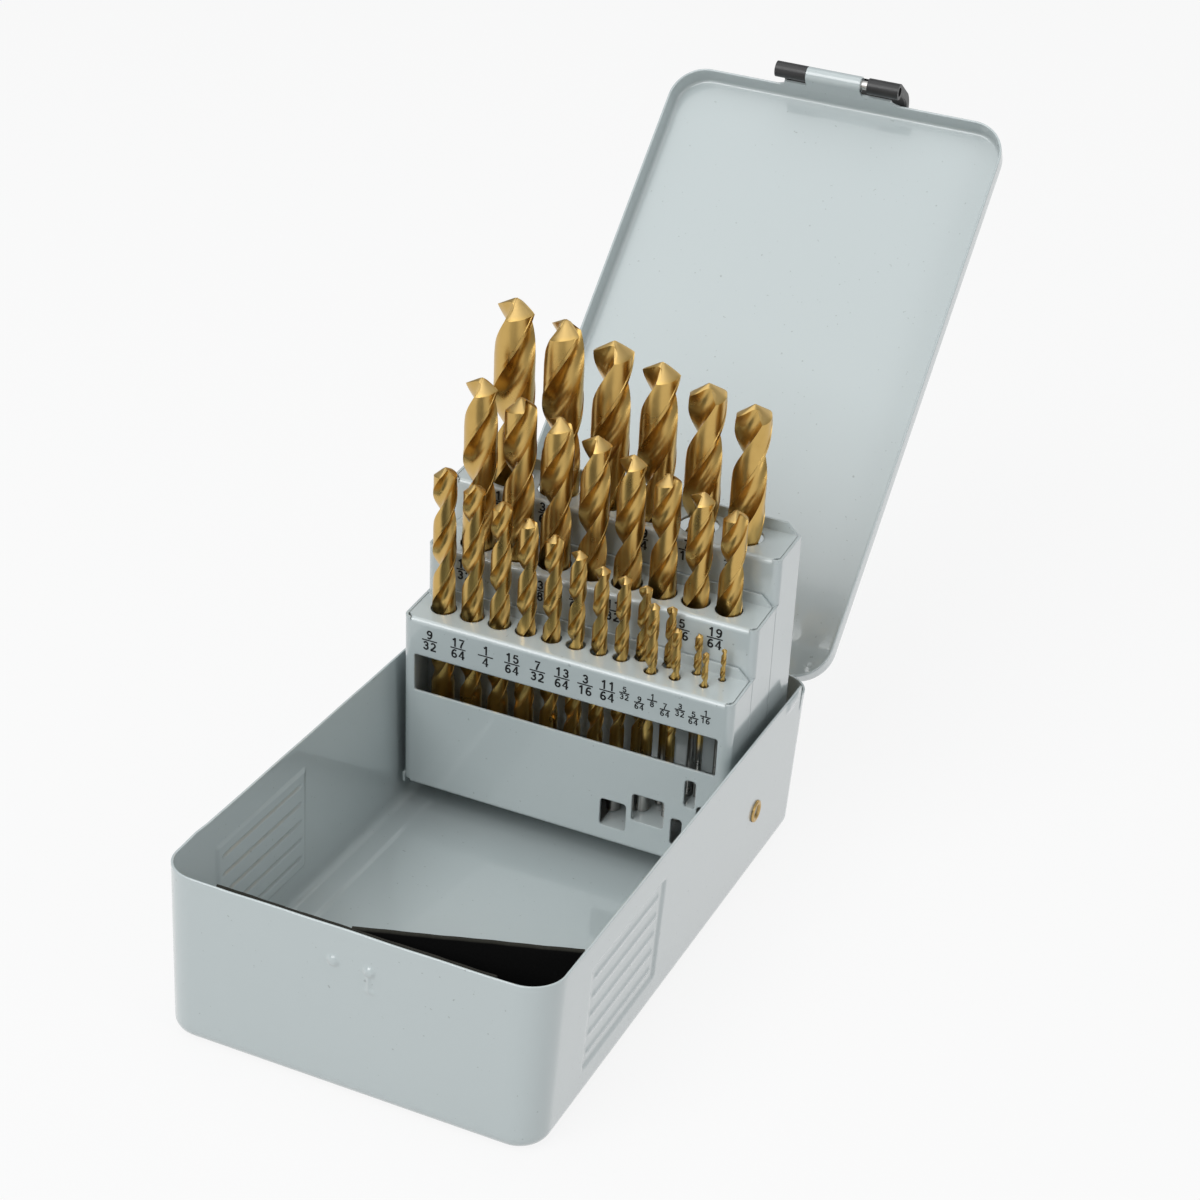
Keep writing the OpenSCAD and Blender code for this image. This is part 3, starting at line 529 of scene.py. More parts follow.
def hinge_knuckle(x):
    """Rolled knuckle on the lid hinge: a ring section turned about the hinge line."""
    half, edge = KNUCKLE_L / 2, KNUCKLE_EDGE
    profile = [(-half, HINGE_BORE), (-half, HINGE_R - edge), (-half + edge, HINGE_R), (half - edge, HINGE_R),
               (half, HINGE_R - edge), (half, HINGE_BORE)]
    return turned("knuckle", profile, np.array([x, HINGE_Y, HINGE_Z]))


def make_tray(enamel):
    """Tray with its three hinge knuckles."""
    knuckles = [hinge_knuckle(i * 2 * KNUCKLE_PITCH) for i in (-1, 0, 1)]
    finished(tray_shell(), "tray", "enamel", enamel, "tray")
    finished(joined("tray_knuckles", knuckles), "tray", "enamel", enamel)


def lid_side(sheet):
    """Insets and heights of the lid's outer face (sheet is 0) or of its inner one, a sheet further in."""
    draft = DRAFT * LID_DEPTH / CASE_H
    top = LID_TOP_Z - sheet
    wall = np.linspace(LID_TOP_Z - LID_BEND, LID_RIM_Z + LID_LAST_ROW, 8)[1:]
    lean = draft * (wall - LID_RIM_Z) / LID_DEPTH
    bend_in, bend_down = quarter_bend(LID_BEND - sheet)
    return np.concatenate([np.array([(inset, top) for inset in LID_INSETS]),
                           np.stack([draft + sheet + bend_in, top - bend_down], -1),
                           np.stack([lean + sheet, wall], -1)])


def lid_profile():
    """Insets and heights of the lid's section, from the middle of its top, round the rim, to the inside."""
    fold_in, fold_up = rim_fold()
    rim = np.stack([fold_in, LID_RIM_Z + fold_up], -1)
    return np.concatenate([lid_side(0), rim, lid_side(SHEET)[::-1]])


def lid_pan():
    """Lid pan: its section carried round its outline, swung open."""
    half_w, half_d, corner = HALF_W + LID_GROW, HALF_D + LID_GROW, CORNER_R + LID_GROW
    outline = Outline(places(half_d - corner, LID_SIDE_SPAN), places(half_w - corner, LID_FRONT_SPAN),
                      LID_CORNER_COUNT)
    inset, height = lid_profile().T
    radius = np.maximum(corner - inset, INNER_CORNER_R)
    return loft("lid_pan", opened(outline.rings(half_w - inset, half_d - inset, radius, height)))


def sheet_plate(name, outline_xz, y):
    """Flat piece of the lid's sheet whose outline lies in X and Z, with its nearer face at y, swung open."""
    ring = np.array(outline_xz, float)
    front = np.stack([ring[:, 0], np.full(len(ring), y), ring[:, 1]], -1)
    back = front + [0, SHEET, 0]
    count = len(ring)
    faces = ring_faces(2, count) + [list(range(count))[::-1], list(range(count, 2 * count))]
    return new_piece(name, opened(np.concatenate([front, back])), faces)


def latch_tab():
    """Tab below the lid's rim, with concave fillets at the rim, and its end rolled round the pin."""
    fillet = 1.5 * SHEET + LATCH_ROLL_R / 2
    half = LATCH_TAB_W / 2
    top = LID_RIM_Z + LID_BEND
    narrow = LATCH_Z + LATCH_ROLL_R + SHEET / 2
    a = np.radians(np.linspace(90, 180, 9))
    right = [(half + fillet + fillet * math.cos(t), LID_RIM_Z - fillet + fillet * math.sin(t)) for t in a]
    left = [(-x, z) for x, z in right][::-1]
    x0, x1 = -LATCH_ROOM / 2, -LATCH_ROOM / 2 + LATCH_ROLL_L
    ring = [(half + fillet, top), *right, (half, narrow), (x1, narrow), (x1, LATCH_Z),
            (x0, LATCH_Z), (x0, narrow), (-half, narrow), *left, (-half - fillet, top)]
    wall_y = -(HALF_D + LID_GAP)
    plate = sheet_plate("plate", [(x + LATCH_X, z) for x, z in ring], wall_y - SHEET)
    edge = LATCH_ROLL_EDGE
    profile = [(x0, LATCH_BORE), (x0, LATCH_ROLL_R - edge), (x0 + edge, LATCH_ROLL_R),
               (x1 - edge, LATCH_ROLL_R), (x1, LATCH_ROLL_R - edge), (x1, LATCH_BORE)]
    at = opened(np.array([LATCH_X, wall_y - LATCH_ROLL_R, LATCH_Z]))
    return joined("lid_latch_tab", [plate, turned("roll", profile, at)])


def make_lid(enamel):
    """Lid pan, the two hinge knuckles with their straps, and the latch tab."""
    finished(lid_pan(), "lid", "enamel", enamel, "lid")
    half = KNUCKLE_L / 2
    parts = []
    for x in (-KNUCKLE_PITCH, KNUCKLE_PITCH):
        parts.append(hinge_knuckle(x))
        strap = [(x - half, HINGE_Z), (x + half, HINGE_Z),
                 (x + half, HINGE_Z + LID_DEPTH), (x - half, HINGE_Z + LID_DEPTH)]
        parts.append(sheet_plate("strap", strap, HALF_D + LID_GROW - SHEET))
    finished(joined("lid_knuckles", parts), "lid", "enamel", enamel)
    finished(latch_tab(), "lid", "enamel", enamel)


# Twist drills

def drill_section():
    """Half turn of a drill's section of radius 1: points, lip relief, and even angles for the plain shank.

    The land keeps the full radius over a narrow margin and a slightly smaller one behind it. From the heel
    the flute is a circle's arc that ends on the line of the next lip, which runs out at half the web's width.
    """
    lead = math.degrees(math.asin(HALF_WEB))
    land = lead - np.array([0, MARGIN / 3, 2 * MARGIN / 3, MARGIN, MARGIN + MARGIN_STEP, *LAND_TURNS,
                            lead - HEEL_AT])
    land_r = np.array([1, 1, 1, 1, *[LAND_R] * len(LAND_TURNS), LAND_END_R, HEEL_R])
    heel = HEEL_R * np.array([math.cos(math.radians(HEEL_AT)), math.sin(math.radians(HEEL_AT))])
    back, drop = heel[0] + FLUTE_ARC_BACK, -HALF_WEB - heel[1]
    arc_r = (back ** 2 + drop ** 2) / (2 * drop)
    middle = np.array([-FLUTE_ARC_BACK, -HALF_WEB - arc_r])
    first = math.atan2(*(heel - middle)[::-1])
    arc = np.linspace(first, math.pi / 2, FLUTE_COUNT + 1)[1:]
    arc_points = middle + arc_r * np.stack([np.cos(arc), np.sin(arc)], -1)
    lip_x = -np.linspace(FLUTE_ARC_BACK, math.cos(math.radians(lead)), LIP_COUNT + 2)[1:-1]
    lip = np.stack([lip_x, np.full(LIP_COUNT, -HALF_WEB)], -1)
    turn = np.radians(land)
    points = np.concatenate([land_r[:, None] * np.stack([np.cos(turn), np.sin(turn)], -1), arc_points, lip])
    count = FLUTE_COUNT + LIP_COUNT
    relief = np.concatenate([(lead - land) / (lead - HEEL_AT), np.linspace(1, 0, count + 1)[1:]])
    even = np.concatenate([land, np.linspace(HEEL_AT, lead - 180, count + 2)[1:-1]])
    return points, LIP_RELIEF * relief, np.radians(even)


def drill_rings(radius, length, flute_length, phase):
    """Rings of a twist drill standing on z = 0: plain shank, twisted body, point of two ground lips.

    A body point turns by 360 degrees for each pitch of height, and goes from the shank's circle to the
    section over the run-out. The body ends on a cone less the relief, closed by lines to the tip.
    """
    points, relief, even = drill_section()
    points, relief = np.concatenate([points, -points]), np.tile(relief, 2)
    even = np.concatenate([even, even - math.pi])
    shank = np.stack([np.cos(even), np.sin(even)], -1)
    pitch = PITCH_SHARE * 2 * radius
    start = length - flute_length
    slope = 1 / math.tan(math.radians(POINT_HALF_ANGLE))
    end = length - np.hypot(*points.T) * radius * (slope + relief)
    count = int(np.clip(flute_length / pitch * ROWS_A_TURN, *ROW_LIMITS))
    share = np.linspace(0, 1, count)[:, None]
    chamfer = min(CHAMFER, CHAMFER_SHARE * radius)
    foot = np.array([FOOT_LIFT, chamfer, *np.linspace(2 * chamfer, start - SHANK_END_GAP, 6)])[:, None]
    z = np.concatenate([foot + 0 * end, start + share * (end - start)])
    depth = smooth_step((z - start) / (RUN_OUT * radius))[..., None] ** RUN_OUT_POWER
    flat = radius * (shank * (1 - depth) + points * depth)
    flat[0] *= (radius - chamfer) / radius
    turn = np.radians(SECTION_TURN + phase + 360 * np.maximum(z - start, 0) / pitch)
    c, s = np.cos(turn), np.sin(turn)
    body = np.stack([flat[..., 0] * c - flat[..., 1] * s, flat[..., 0] * s + flat[..., 1] * c, z], -1)
    tip = np.array(TIP_SHARES)[:, None]
    point = np.stack([tip * body[-1, :, 0], tip * body[-1, :, 1], length - tip * (length - end)], -1)
    return np.concatenate([body, point])


def drill_fraction(count):
    """Count 64ths as a fraction in lowest terms: top, bottom."""
    divisor = math.gcd(count, 64)
    return count // divisor, 64 // divisor


def drill_node(count):
    """Name of the CAD node of the drill of count 64ths of an inch."""
    return "drill_{}_{}".format(*drill_fraction(count))


def make_drill(count, coated):
    """One drill of count 64ths of an inch, in the place of its CAD node, on the rack's lean."""
    node = drill_node(count)
    low, high = node_box(node)
    radius = count / 64 * INCH / 2
    lean = math.radians(RACK_LEAN)
    foot = np.array([(low[0] + high[0]) / 2, high[1] - radius * math.cos(lean),
                     low[2] + radius * math.sin(lean)])
    length = (high[2] - foot[2]) / math.cos(lean)
    flute_length = FLUTE_SIXTEENTHS[count - TIER_DRILLS["front"][0]] * INCH / 16
    rings = drill_rings(radius, length, flute_length, PHASES[count])
    piece = loft(f"twist_{node}", turn_x(rings, RACK_LEAN, 0, 0) + foot, DRILL_CREASE)
    rows, around = rings.shape[:2]
    coat_start = length - flute_length - COAT_BELOW.get(count, COAT_REACH)
    coat = np.zeros(rows * around + 2)
    coat[:-2] = smooth_step((rings[..., 2].ravel() - coat_start) / COAT_FADE)
    coat[-1] = 1
    ground = np.zeros_like(coat)
    ground[-len(TIP_SHARES) * around - 2:] = 1
    add_attribute(piece, "coating", coat)
    add_attribute(piece, "ground", ground)
    finished(piece, node, "gold_steel", coated, node)


# Numbers on the rack

def arc_line(x, z, rx, rz, first, last, count=14):
    """Points of an ellipse's arc about x and z, between two angles."""
    a = np.radians(np.linspace(first, last, count))
    return np.stack([x + rx * np.cos(a), z + rz * np.sin(a)], -1)


def digit_lines(stroke):
    """Centre lines of the digits' strokes, drawn as shares of a cell DIGIT_W wide and 1 high."""
    low, high, left, mid = stroke / 2, 1 - stroke / 2, stroke / 2, DIGIT_W / 2
    half = mid - left
    bowl = 0.31 - low
    bowl_top = arc_line(mid, high - 0.23, half * 0.94, 0.23, 160, -35)
    ring = arc_line(mid, low + bowl, half, bowl, 90, 450, 30)
    six = [ring, np.concatenate([arc_line(mid + 0.05, 0.44, half + 0.05, high - 0.44, 180, 90),
                                 arc_line(mid + 0.05, high - 0.17, half - 0.07, 0.17, 90, 25, 6)]),
           np.array([(left, low + bowl), (left, 0.46)])]
    return {
        "1": [np.array([(0.12, 0.74), (0.24, 0.80), (0.36, 0.92)]), np.array([(0.38, 0.0), (0.38, 1.0)])],
        "2": [np.concatenate([bowl_top, [(0.30, 0.33), (0.12, 0.17), (0.07, low)]]),
              np.array([(0.03, low), (DIGIT_W, low)])],
        "3": [arc_line(mid, high - 0.205, half * 0.88, 0.205, 165, -90),
              arc_line(mid, low + 0.228, half, 0.228, 90, -165), np.array([(0.24, 0.525), (mid, 0.525)])],
        "4": [np.array([(0.44, 0.97), (0.05, 0.30), (DIGIT_W, 0.30)]), np.array([(0.44, 0.0), (0.44, 1.0)])],
        "5": [np.array([(0.54, high), (0.17, high), (0.10, 0.50)]),
              arc_line(mid, low + 0.26, half, 0.26, 140, -165, 22)],
        "6": six,
        "7": [np.array([(0.03, high), (0.56, high), (0.40, 0.66), (0.27, 0.33), (0.21, 0.0)])],
        "8": [arc_line(mid, high - 0.195, half * 0.86, 0.195, 0, 360, 30),
              arc_line(mid, low + 0.235, half, 0.235, 0, 360, 30)],
        "9": [np.array([DIGIT_W, 1.0]) - line for line in six],
    }


def stroke_mesh(line, stroke):
    """Points and faces of a flat stroke: its centre line moved half a stroke to each side, front and back."""
    along = np.gradient(line, axis=0)
    across = np.stack([-along[:, 1], along[:, 0]], -1) / np.linalg.norm(along, axis=1)[:, None]
    near, far = line + across * stroke / 2, line - across * stroke / 2
    edges = ((near, -1), (far, -1), (far, 1), (near, 1))
    corners = np.stack([np.insert(edge, 1, y, axis=1) for edge, y in edges], 1)
    last = (len(line) - 1) * 4
    ends = [[3, 2, 1, 0], [last, last + 1, last + 2, last + 3]]
    return corners.reshape(-1, 3), ring_faces(len(line), 4) + ends


def number_mesh(text, stroke):
    """Points and faces of a number one unit high, standing in X and Z about x = 0."""
    lines = digit_lines(stroke)
    width = DIGIT_STEP * (len(text) - 1) + DIGIT_W
    points, faces, start = [], [], 0
    for place, digit in enumerate(text):
        for line in lines[digit]:
            part, part_faces = stroke_mesh(line + [place * DIGIT_STEP - width / 2, 0], stroke)
            points.append(part)
            faces += [[start + v for v in f] for f in part_faces]
            start += len(part)
    return np.concatenate(points), faces


def box_mesh(size):
    """Points and faces of a box of that size about the origin."""
    corners = np.array([[x, y, z] for z in (-1, 1) for y in (-1, 1) for x in (-1, 1)]) * np.array(size) / 2
    return corners, [[0, 2, 3, 1], [4, 5, 7, 6], [0, 1, 5, 4], [2, 6, 7, 3], [0, 4, 6, 2], [1, 3, 7, 5]]


def fraction_parts(top, bottom, height, bar_w, stroke):
    """Points and faces of a stacked fraction of that height: number, bar, number."""
    digit = DIGIT_SHARE * height
    upper, upper_faces = number_mesh(str(top), stroke / digit)
    lower, lower_faces = number_mesh(str(bottom), stroke / digit)
    size = np.array([digit, INK_HALF_T, digit])
    return [(upper * size + [0, 0, height / 2 - digit], upper_faces), box_mesh((bar_w, BAR_T, BAR_H)),
            (lower * size - [0, 0, height / 2], lower_faces)]


def make_labels(ink):
    """Black fractions under the holes, one mesh for each tier."""
    for tier, (name, counts) in enumerate(TIER_DRILLS.items()):
        points, faces = [], []
        for count in counts:
            low, high = node_box(drill_node(count))
            under = (low[0] + high[0]) / 2 + ROW_LABEL_SHIFT[tier], ROW_LABEL_Z[tier]
            x, z = SMALL_LABELS.get(count, under)
            sizes = SMALL_LABEL if count in SMALL_LABELS else BIG_LABEL
            for part, part_faces in fraction_parts(*drill_fraction(count), *sizes):
                start = sum(len(p) for p in points)
                points.append(part + np.array([x, TIER_FACES[tier] - INK_LIFT, z]))
                faces += [[start + v for v in f] for f in part_faces]
        piece = new_piece(f"{name}_row_numbers", in_rack(np.concatenate(points)), faces)
        finished(piece, "rack", "black_paint", ink)


# Foam

def foam_strip(name, path, low, high, lean):
    """Strip on edge: a round-cornered section carried along a straight path, from height low to high.

    Towards the path's end the strip leans by lean times the tray wall's inset at each height.
    """
    path = np.array(path, float)
    length = np.linalg.norm(path[1] - path[0])
    along = (path[1] - path[0]) / length
    spots = np.linspace(0, length, int(length / FOAM_STEP))[:, None]
    r = FOAM_T / 2
    a = np.radians(np.arange(0, 181, 15))
    side = np.array([low + FOAM_ROWS[0], (low + high) / 2, *(high - row for row in FOAM_ROWS)])
    flat = np.full(len(side), r)
    off = np.concatenate([flat, r * np.cos(a), -flat, -r * np.cos(a)])
    rise = np.concatenate([side, high - r + r * np.sin(a), side[::-1], low + r - r * np.sin(a)])
    wave = sum(height * np.sin(spots * rate + start) for height, rate, start in FOAM_WAVES)
    z = rise + (rise > high - FOAM_WAVE_REACH) * wave
    x = path[0, 0] + along[0] * spots - along[1] * off
    y = path[0, 1] + along[1] * spots + along[0] * off
    x = x - lean * wall_inset(z) * spots / length
    piece = loft(name, np.stack([x, y, z], -1))
    pale_top_edge = smooth_step((rise + 0 * z - high + FOAM_ROWS[-1]) / FOAM_TOP_EDGE_SOFT)
    add_attribute(piece, "top_edge", np.append(pale_top_edge.ravel(), [0, 0]))
    return piece


def make_foam(foam):
    """The strip along the front wall and the one across the front right corner."""
    low, high = node_box("front_foam_strip")
    gap, back = FRONT_FOAM_GAP
    path = [(low[0] + gap, high[1] - back), (high[0] - gap, high[1] - back)]
    front = foam_strip("front_foam", path, low[2] + FOAM_LOW_GAP, high[2] - FOAM_TOP_GAP, 0)
    finished(front, "tray", "foam", foam, "front_foam_strip")
    low, high = node_box("corner_foam_strip")
    path = [(low[0] + CORNER_FOAM_START[0], low[1] + CORNER_FOAM_START[1]),
            (HALF_W - SHEET + CORNER_FOAM_END[0], high[1] + CORNER_FOAM_END[1])]
    corner = foam_strip("corner_foam", path, low[2] + FOAM_LOW_GAP, high[2] - FOAM_TOP_GAP, 1)
    finished(corner, "tray", "foam", foam, "corner_foam_strip")


# Pivot rivets

def make_rivet(side, brass, node):
    """Hollow rivet: a tube with a rolled flange outside, turned about the pivot line."""
    low, high = node_box(node)
    outer, inner = (high[0], low[0]) if side > 0 else (low[0], high[0])
    depth, width = RIVET_ROLL
    a = np.radians(np.linspace(-90, 90, RIVET_ROLL_COUNT))
    roll = [(outer - side * depth * (1 - math.cos(t)), RIVET_FLANGE_R - width * (1 - math.sin(t))) for t in a]
    flange_x = outer - side * RIVET_FLANGE_T
    profile = [(inner, RIVET_BORE_R), (outer - side * RIVET_BORE_END, RIVET_BORE_R), *roll,
               (flange_x, RIVET_FLANGE_R), (flange_x, RIVET_TUBE_R), (inner, RIVET_TUBE_R)]
    piece = turned(node + "_eyelet", profile, np.array([0, PIVOT_Y, PIVOT_Z]))
    # Painted shade for the bore and the flange's underside, stored as the 'dark' attribute
    add_attribute(piece, "dark", np.repeat(RIVET_PAINTED_SHADE, TURNED_COUNT))
    finished(piece, "tray", "brass", brass, node)


# Materials

class Nodes:
    """A material's node tree, built by name."""

    def __init__(self, name):
        self.material = bpy.data.materials.new(name)
        self.material.use_nodes = True
        self.tree = self.material.node_tree
        self.shader = self.tree.nodes["Principled BSDF"]
        self.coords = self.tree.nodes.new("ShaderNodeTexCoord").outputs["Object"]

    def set(self, socket, value):
        """Joins an input to a socket, or sets it to a number or a colour."""
        if isinstance(value, bpy.types.NodeSocket):
            self.tree.links.new(value, socket)
        elif socket.type == "RGBA":
            socket.default_value = (*value, 1)
        else:
            socket.default_value = value

    def add(self, kind, inputs=(), **settings):
        """New node of a kind with settings, and its inputs set to values or joined to sockets."""
        node = self.tree.nodes.new("ShaderNode" + kind)
        for key, value in settings.items():
            setattr(node, key, value)
        for key, value in dict(inputs).items():
            self.set(node.inputs[key], value)
        return node

    def noise(self, scale, detail, roughness=0.5, stretch=(1, 1, 1)):
        """Noise on Object coordinates, scale in waves for each metre."""
        place = self.add("Mapping", {"Vector": self.coords, "Scale": stretch})
        return self.add("TexNoise", {"Vector": place.outputs[0], "Scale": scale, "Detail": detail,
                                     "Roughness": roughness}).outputs["Fac"]

    def ramp(self, fac, *stops):
        """Grey ramp between two stops of (place, grey)."""
        node = self.add("ValToRGB", {"Fac": fac})
        for element, (place, grey) in zip(node.color_ramp.elements, stops):
            element.position = place
            element.color = (grey, grey, grey, 1)
        return node.outputs["Color"]

    def mix(self, fac, a, b):
        """Colour a where fac is 0 and b where it is 1."""
        return self.add("Mix", {0: fac, 6: a, 7: b}, data_type="RGBA").outputs[2]

    def share(self, value, share):
        """A value times a constant."""
        return self.add("Math", {0: value, 1: share}, operation="MULTIPLY").outputs[0]

    def attribute(self, name):
        """A mesh attribute's value."""
        return self.add("Attribute", attribute_name=name).outputs["Fac"]

    def bumps(self, *layers, under=None):
        """Bump nodes one on another, over a normal if there is one, from (height, metres, strength)."""
        normal = under
        for height, distance, strength in layers:
            inputs = {"Height": height, "Distance": distance, "Strength": strength}
            if normal is not None:
                inputs["Normal"] = normal
            normal = self.add("Bump", inputs).outputs[0]
        self.tree.links.new(normal, self.shader.inputs["Normal"])

    def finish(self, **inputs):
        """Sets the shader's inputs, joined or constant; underscores stand for blanks in their names."""
        for key, value in inputs.items():
            self.set(self.shader.inputs[key.replace("_", " ")], value)
        return self.material


def enamel_material(name, edge_radius):
    """Light grey stoved enamel: faint clouds, orange peel, dust specks, edges eased by a radius in metres."""
    n = Nodes(name)
    specks = n.ramp(n.noise(900, 1, 0.3), (0.205, 1.0), (0.225, 0.0))
    base = n.mix(n.noise(9, 2), (0.435, 0.490, 0.494), (0.450, 0.503, 0.508))
    base = n.mix(n.share(specks, 0.5), base, (0.20, 0.22, 0.22))
    rough = n.ramp(n.noise(160, 3), (0.0, 0.27), (1.0, 0.31))
    under = n.add("Bevel", {"Radius": edge_radius}, samples=6).outputs[0] if edge_radius else None
    n.bumps((n.noise(420, 0), 0.00003, 0.35), under=under)
    return n.finish(Base_Color=base, Roughness=rough, Specular_IOR_Level=0.5, Coat_Weight=1.0,
                    Coat_Roughness=0.05)


def drill_material():
    """Gold nitride coat over ground steel: the coat ends on the shank, the points are paler and duller."""
    n = Nodes("coated_drill_steel")
    patches = n.noise(220, 4)
    grain = n.noise(2600, 2, 0.6, (1, 1, 0.12))
    ground = n.attribute("ground")
    gold = n.mix(patches, (0.50, 0.32, 0.095), (0.66, 0.445, 0.15))
    gold = n.mix(n.share(ground, 0.5), gold, (0.50, 0.37, 0.17))
    steel = n.mix(n.noise(300, 3), (0.30, 0.29, 0.27), (0.48, 0.47, 0.45))
    n.bumps((grain, 0.00002, 0.4), (n.noise(900, 2), 0.00002, 0.2))
    rough = n.mix(ground, n.ramp(patches, (0.2, 0.25), (0.8, 0.34)), (0.48, 0.48, 0.48))
    return n.finish(Base_Color=n.mix(n.attribute("coating"), steel, gold), Metallic=1.0, Roughness=rough)


def metal_material(name, dark, light, roughness):
    """Worn plain metal between two colours."""
    n = Nodes(name)
    patches = n.noise(400, 4)
    n.bumps((n.noise(1800, 2), 0.00003, 0.4))
    rough = n.ramp(patches, (0.2, roughness * 0.7), (0.8, roughness * 1.3))
    return n.finish(Base_Color=n.mix(patches, dark, light), Metallic=1.0, Roughness=rough)


def brass_material():
    """Brass with painted shade: darkened inside the bore and under the flange's edge."""
    n = Nodes("brass")
    patches = n.noise(700, 4)
    n.bumps((n.noise(1800, 2), 0.00003, 0.4))
    unshaded_brass = n.mix(patches, (0.42, 0.27, 0.09), (0.66, 0.46, 0.19))
    # The 'dark' attribute mixes in painted shade, near black in the bore and under the flange
    base = n.mix(n.attribute("dark"), unshaded_brass, (0.05, 0.04, 0.03))
    return n.finish(Base_Color=base, Metallic=1.0, Roughness=n.ramp(patches, (0.2, 0.26), (0.8, 0.4)))


def coat_material(name, dark, light, roughness, grain_height):
    """Opaque coat between two colours, with a fine grain of that height in metres."""
    n = Nodes(name)
    patches = n.noise(300, 4)
    n.bumps((n.noise(1500, 3), grain_height, 0.5))
    rough = n.ramp(patches, (0.2, roughness * 0.85), (0.8, roughness * 1.15))
    return n.finish(Base_Color=n.mix(patches, dark, light), Roughness=rough)


def foam_material():
    """Black foam, darkened below the foam's own black as painted shade for the dark pocket at the front right
    corner, and grey along its top edge.
    """
    n = Nodes("black_foam")
    grain = n.noise(1500, 3)
    # Near-black body colour: the foam's black plus painted shade; top_edge gives the grey along the top edge
    base = n.mix(n.attribute("top_edge"), (0.0025, 0.0025, 0.0025), (0.035, 0.034, 0.028))
    n.bumps((grain, 0.0001, 0.5))
    return n.finish(Base_Color=n.mix(n.share(grain, 0.5), base, (0.0, 0.0, 0.0)),
                    Roughness=n.ramp(grain, (0.2, 0.9), (0.8, 1.0)), Specular_IOR_Level=0.15)


# Floor, lights and camera

def make_floor():
    """Wide white floor with a soft shadow: the camera and mirrors see it mostly by its own glow."""
    floor = bpy.data.objects.new("floor", bpy.data.meshes.new("floor"))
    corners = [(x * FLOOR_HALF, y * FLOOR_HALF, 0) for x, y in ((-1, -1), (1, -1), (1, 1), (-1, 1))]
    floor.data.from_pydata(corners, [], [(0, 1, 2, 3)])
    bpy.context.scene.collection.objects.link(floor)
    material = bpy.data.materials.new("white_floor")
    material.use_nodes = True
    tree = material.node_tree
    tree.nodes.clear()
    out = tree.nodes.new("ShaderNodeOutputMaterial")
    diffuse = tree.nodes.new("ShaderNodeBsdfDiffuse")
    diffuse.inputs["Color"].default_value = (FLOOR_GREY, FLOOR_GREY, FLOOR_GREY, 1)
    glow = tree.nodes.new("ShaderNodeEmission")
    rays = tree.nodes.new("ShaderNodeLightPath")
    mix = tree.nodes.new("ShaderNodeMixShader")
    share = tree.nodes.new("ShaderNodeMath")
    share.operation = "MULTIPLY"
    share.inputs[1].default_value = FLOOR_GLOW_SHARE
    seen = tree.nodes.new("ShaderNodeMath")
    seen.operation = "MAXIMUM"
    tree.links.new(rays.outputs["Is Camera Ray"], seen.inputs[0])
    tree.links.new(rays.outputs["Is Glossy Ray"], seen.inputs[1])
    tree.links.new(seen.outputs[0], share.inputs[0])
    tree.links.new(share.outputs[0], mix.inputs[0])
    tree.links.new(diffuse.outputs[0], mix.inputs[1])
    tree.links.new(glow.outputs[0], mix.inputs[2])
    tree.links.new(mix.outputs[0], out.inputs[0])
    floor.data.materials.append(material)


def make_world():
    """Even pale surround, seen as white by the camera."""
    world = bpy.data.worlds.new("studio")
    bpy.context.scene.world = world
    world.use_nodes = True
    tree = world.node_tree
    tree.nodes.clear()
    out = tree.nodes.new("ShaderNodeOutputWorld")
    even = tree.nodes.new("ShaderNodeBackground")
    even.inputs["Color"].default_value = (*SURROUND, 1)
    even.inputs["Strength"].default_value = SURROUND_STRENGTH
    white = tree.nodes.new("ShaderNodeBackground")
    white.inputs["Color"].default_value = (1, 1, 1, 1)
    rays = tree.nodes.new("ShaderNodeLightPath")
    mix = tree.nodes.new("ShaderNodeMixShader")
    tree.links.new(rays.outputs["Is Camera Ray"], mix.inputs[0])
    tree.links.new(even.outputs[0], mix.inputs[1])
    tree.links.new(white.outputs[0], mix.inputs[2])
    tree.links.new(mix.outputs[0], out.inputs[0])


def soft_light(name, at, aim, size, power):
    """Square area light at a point in metres, aimed at another."""
    lamp = bpy.data.lights.new(name, "AREA")
    lamp.size = size
    lamp.energy = power
    holder = bpy.data.objects.new(name, lamp)
    holder.location = at
    holder.rotation_euler = (Vector(aim) - Vector(at)).to_track_quat("-Z", "Y").to_euler()
    bpy.context.scene.collection.objects.link(holder)


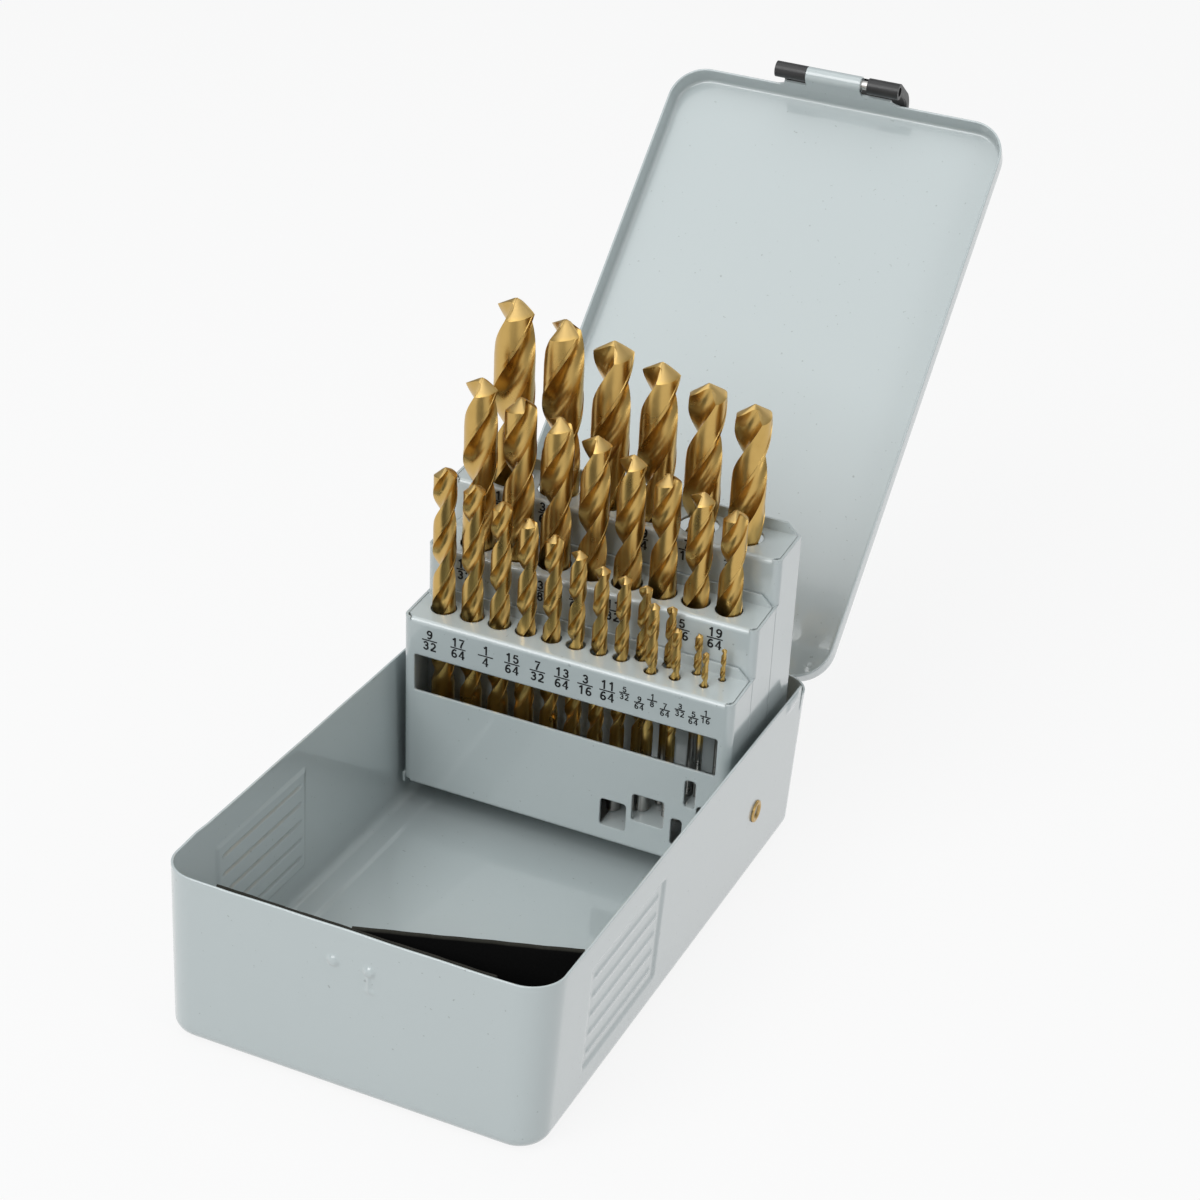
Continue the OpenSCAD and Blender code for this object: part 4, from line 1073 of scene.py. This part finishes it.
def make_camera():
    """Camera at the photograph's place, turned by its yaw, pitch and roll."""
    yaw, pitch, roll = (math.radians(v) for v in (CAMERA_YAW, CAMERA_PITCH, CAMERA_ROLL))
    ahead = Vector((-math.sin(yaw) * math.cos(pitch), math.cos(yaw) * math.cos(pitch), -math.sin(pitch)))
    right = ahead.cross(Vector((0, 0, 1))).normalized()
    up = right.cross(ahead)
    tilted = math.cos(roll) * right + math.sin(roll) * up
    upright = -math.sin(roll) * right + math.cos(roll) * up
    camera = bpy.data.objects.new("camera", bpy.data.cameras.new("camera"))
    camera.data.sensor_width = SENSOR
    camera.data.lens = SENSOR * FOCAL_SHARE
    camera.data.clip_start = 0.01
    turn = Matrix((tilted, upright, -ahead)).transposed().to_4x4()
    camera.matrix_world = Matrix.Translation(Vector(CAMERA_AT) * MM) @ turn
    bpy.context.scene.collection.objects.link(camera)
    bpy.context.scene.camera = camera


def dress_nodes(materials):
    """Gives each CAD node that is shown the material under the start of its name."""
    for name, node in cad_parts.items():
        for start, material in materials.items():
            if name.startswith(start):
                node.data.materials.clear()
                node.data.materials.append(material)


make_camera()
make_world()
make_floor()
for name, settings in LIGHTS.items():
    soft_light(name, *settings)

enamel = enamel_material("grey_enamel", 0)
edged_enamel = enamel_material("grey_enamel_edges", 0.0007)
gold = drill_material()
steel = metal_material("bright_steel", (0.42, 0.41, 0.39), (0.62, 0.61, 0.59), 0.32)
brass = brass_material()
black = coat_material("black_satin_paint", (0.012, 0.012, 0.013), (0.028, 0.028, 0.028), 0.38, 0.00004)
ink = coat_material("black_ink", (0.004, 0.004, 0.005), (0.010, 0.010, 0.011), 0.7, 0.00001)
foam = foam_material()

dress_nodes({"rack": edged_enamel, "hinge_wire": steel, "latch_lever": black, "latch_pin": steel,
             "pivot_spacer": steel})
make_tray(enamel)
make_lid(enamel)
for counts in TIER_DRILLS.values():
    for count in counts:
        make_drill(count, gold)
make_labels(ink)
make_foam(foam)
make_rivet(1, brass, "pivot_rivet_right")
make_rivet(-1, brass, "pivot_rivet_left")

bpy.context.scene.view_settings.view_transform = "Standard"
bpy.context.view_layer.update()
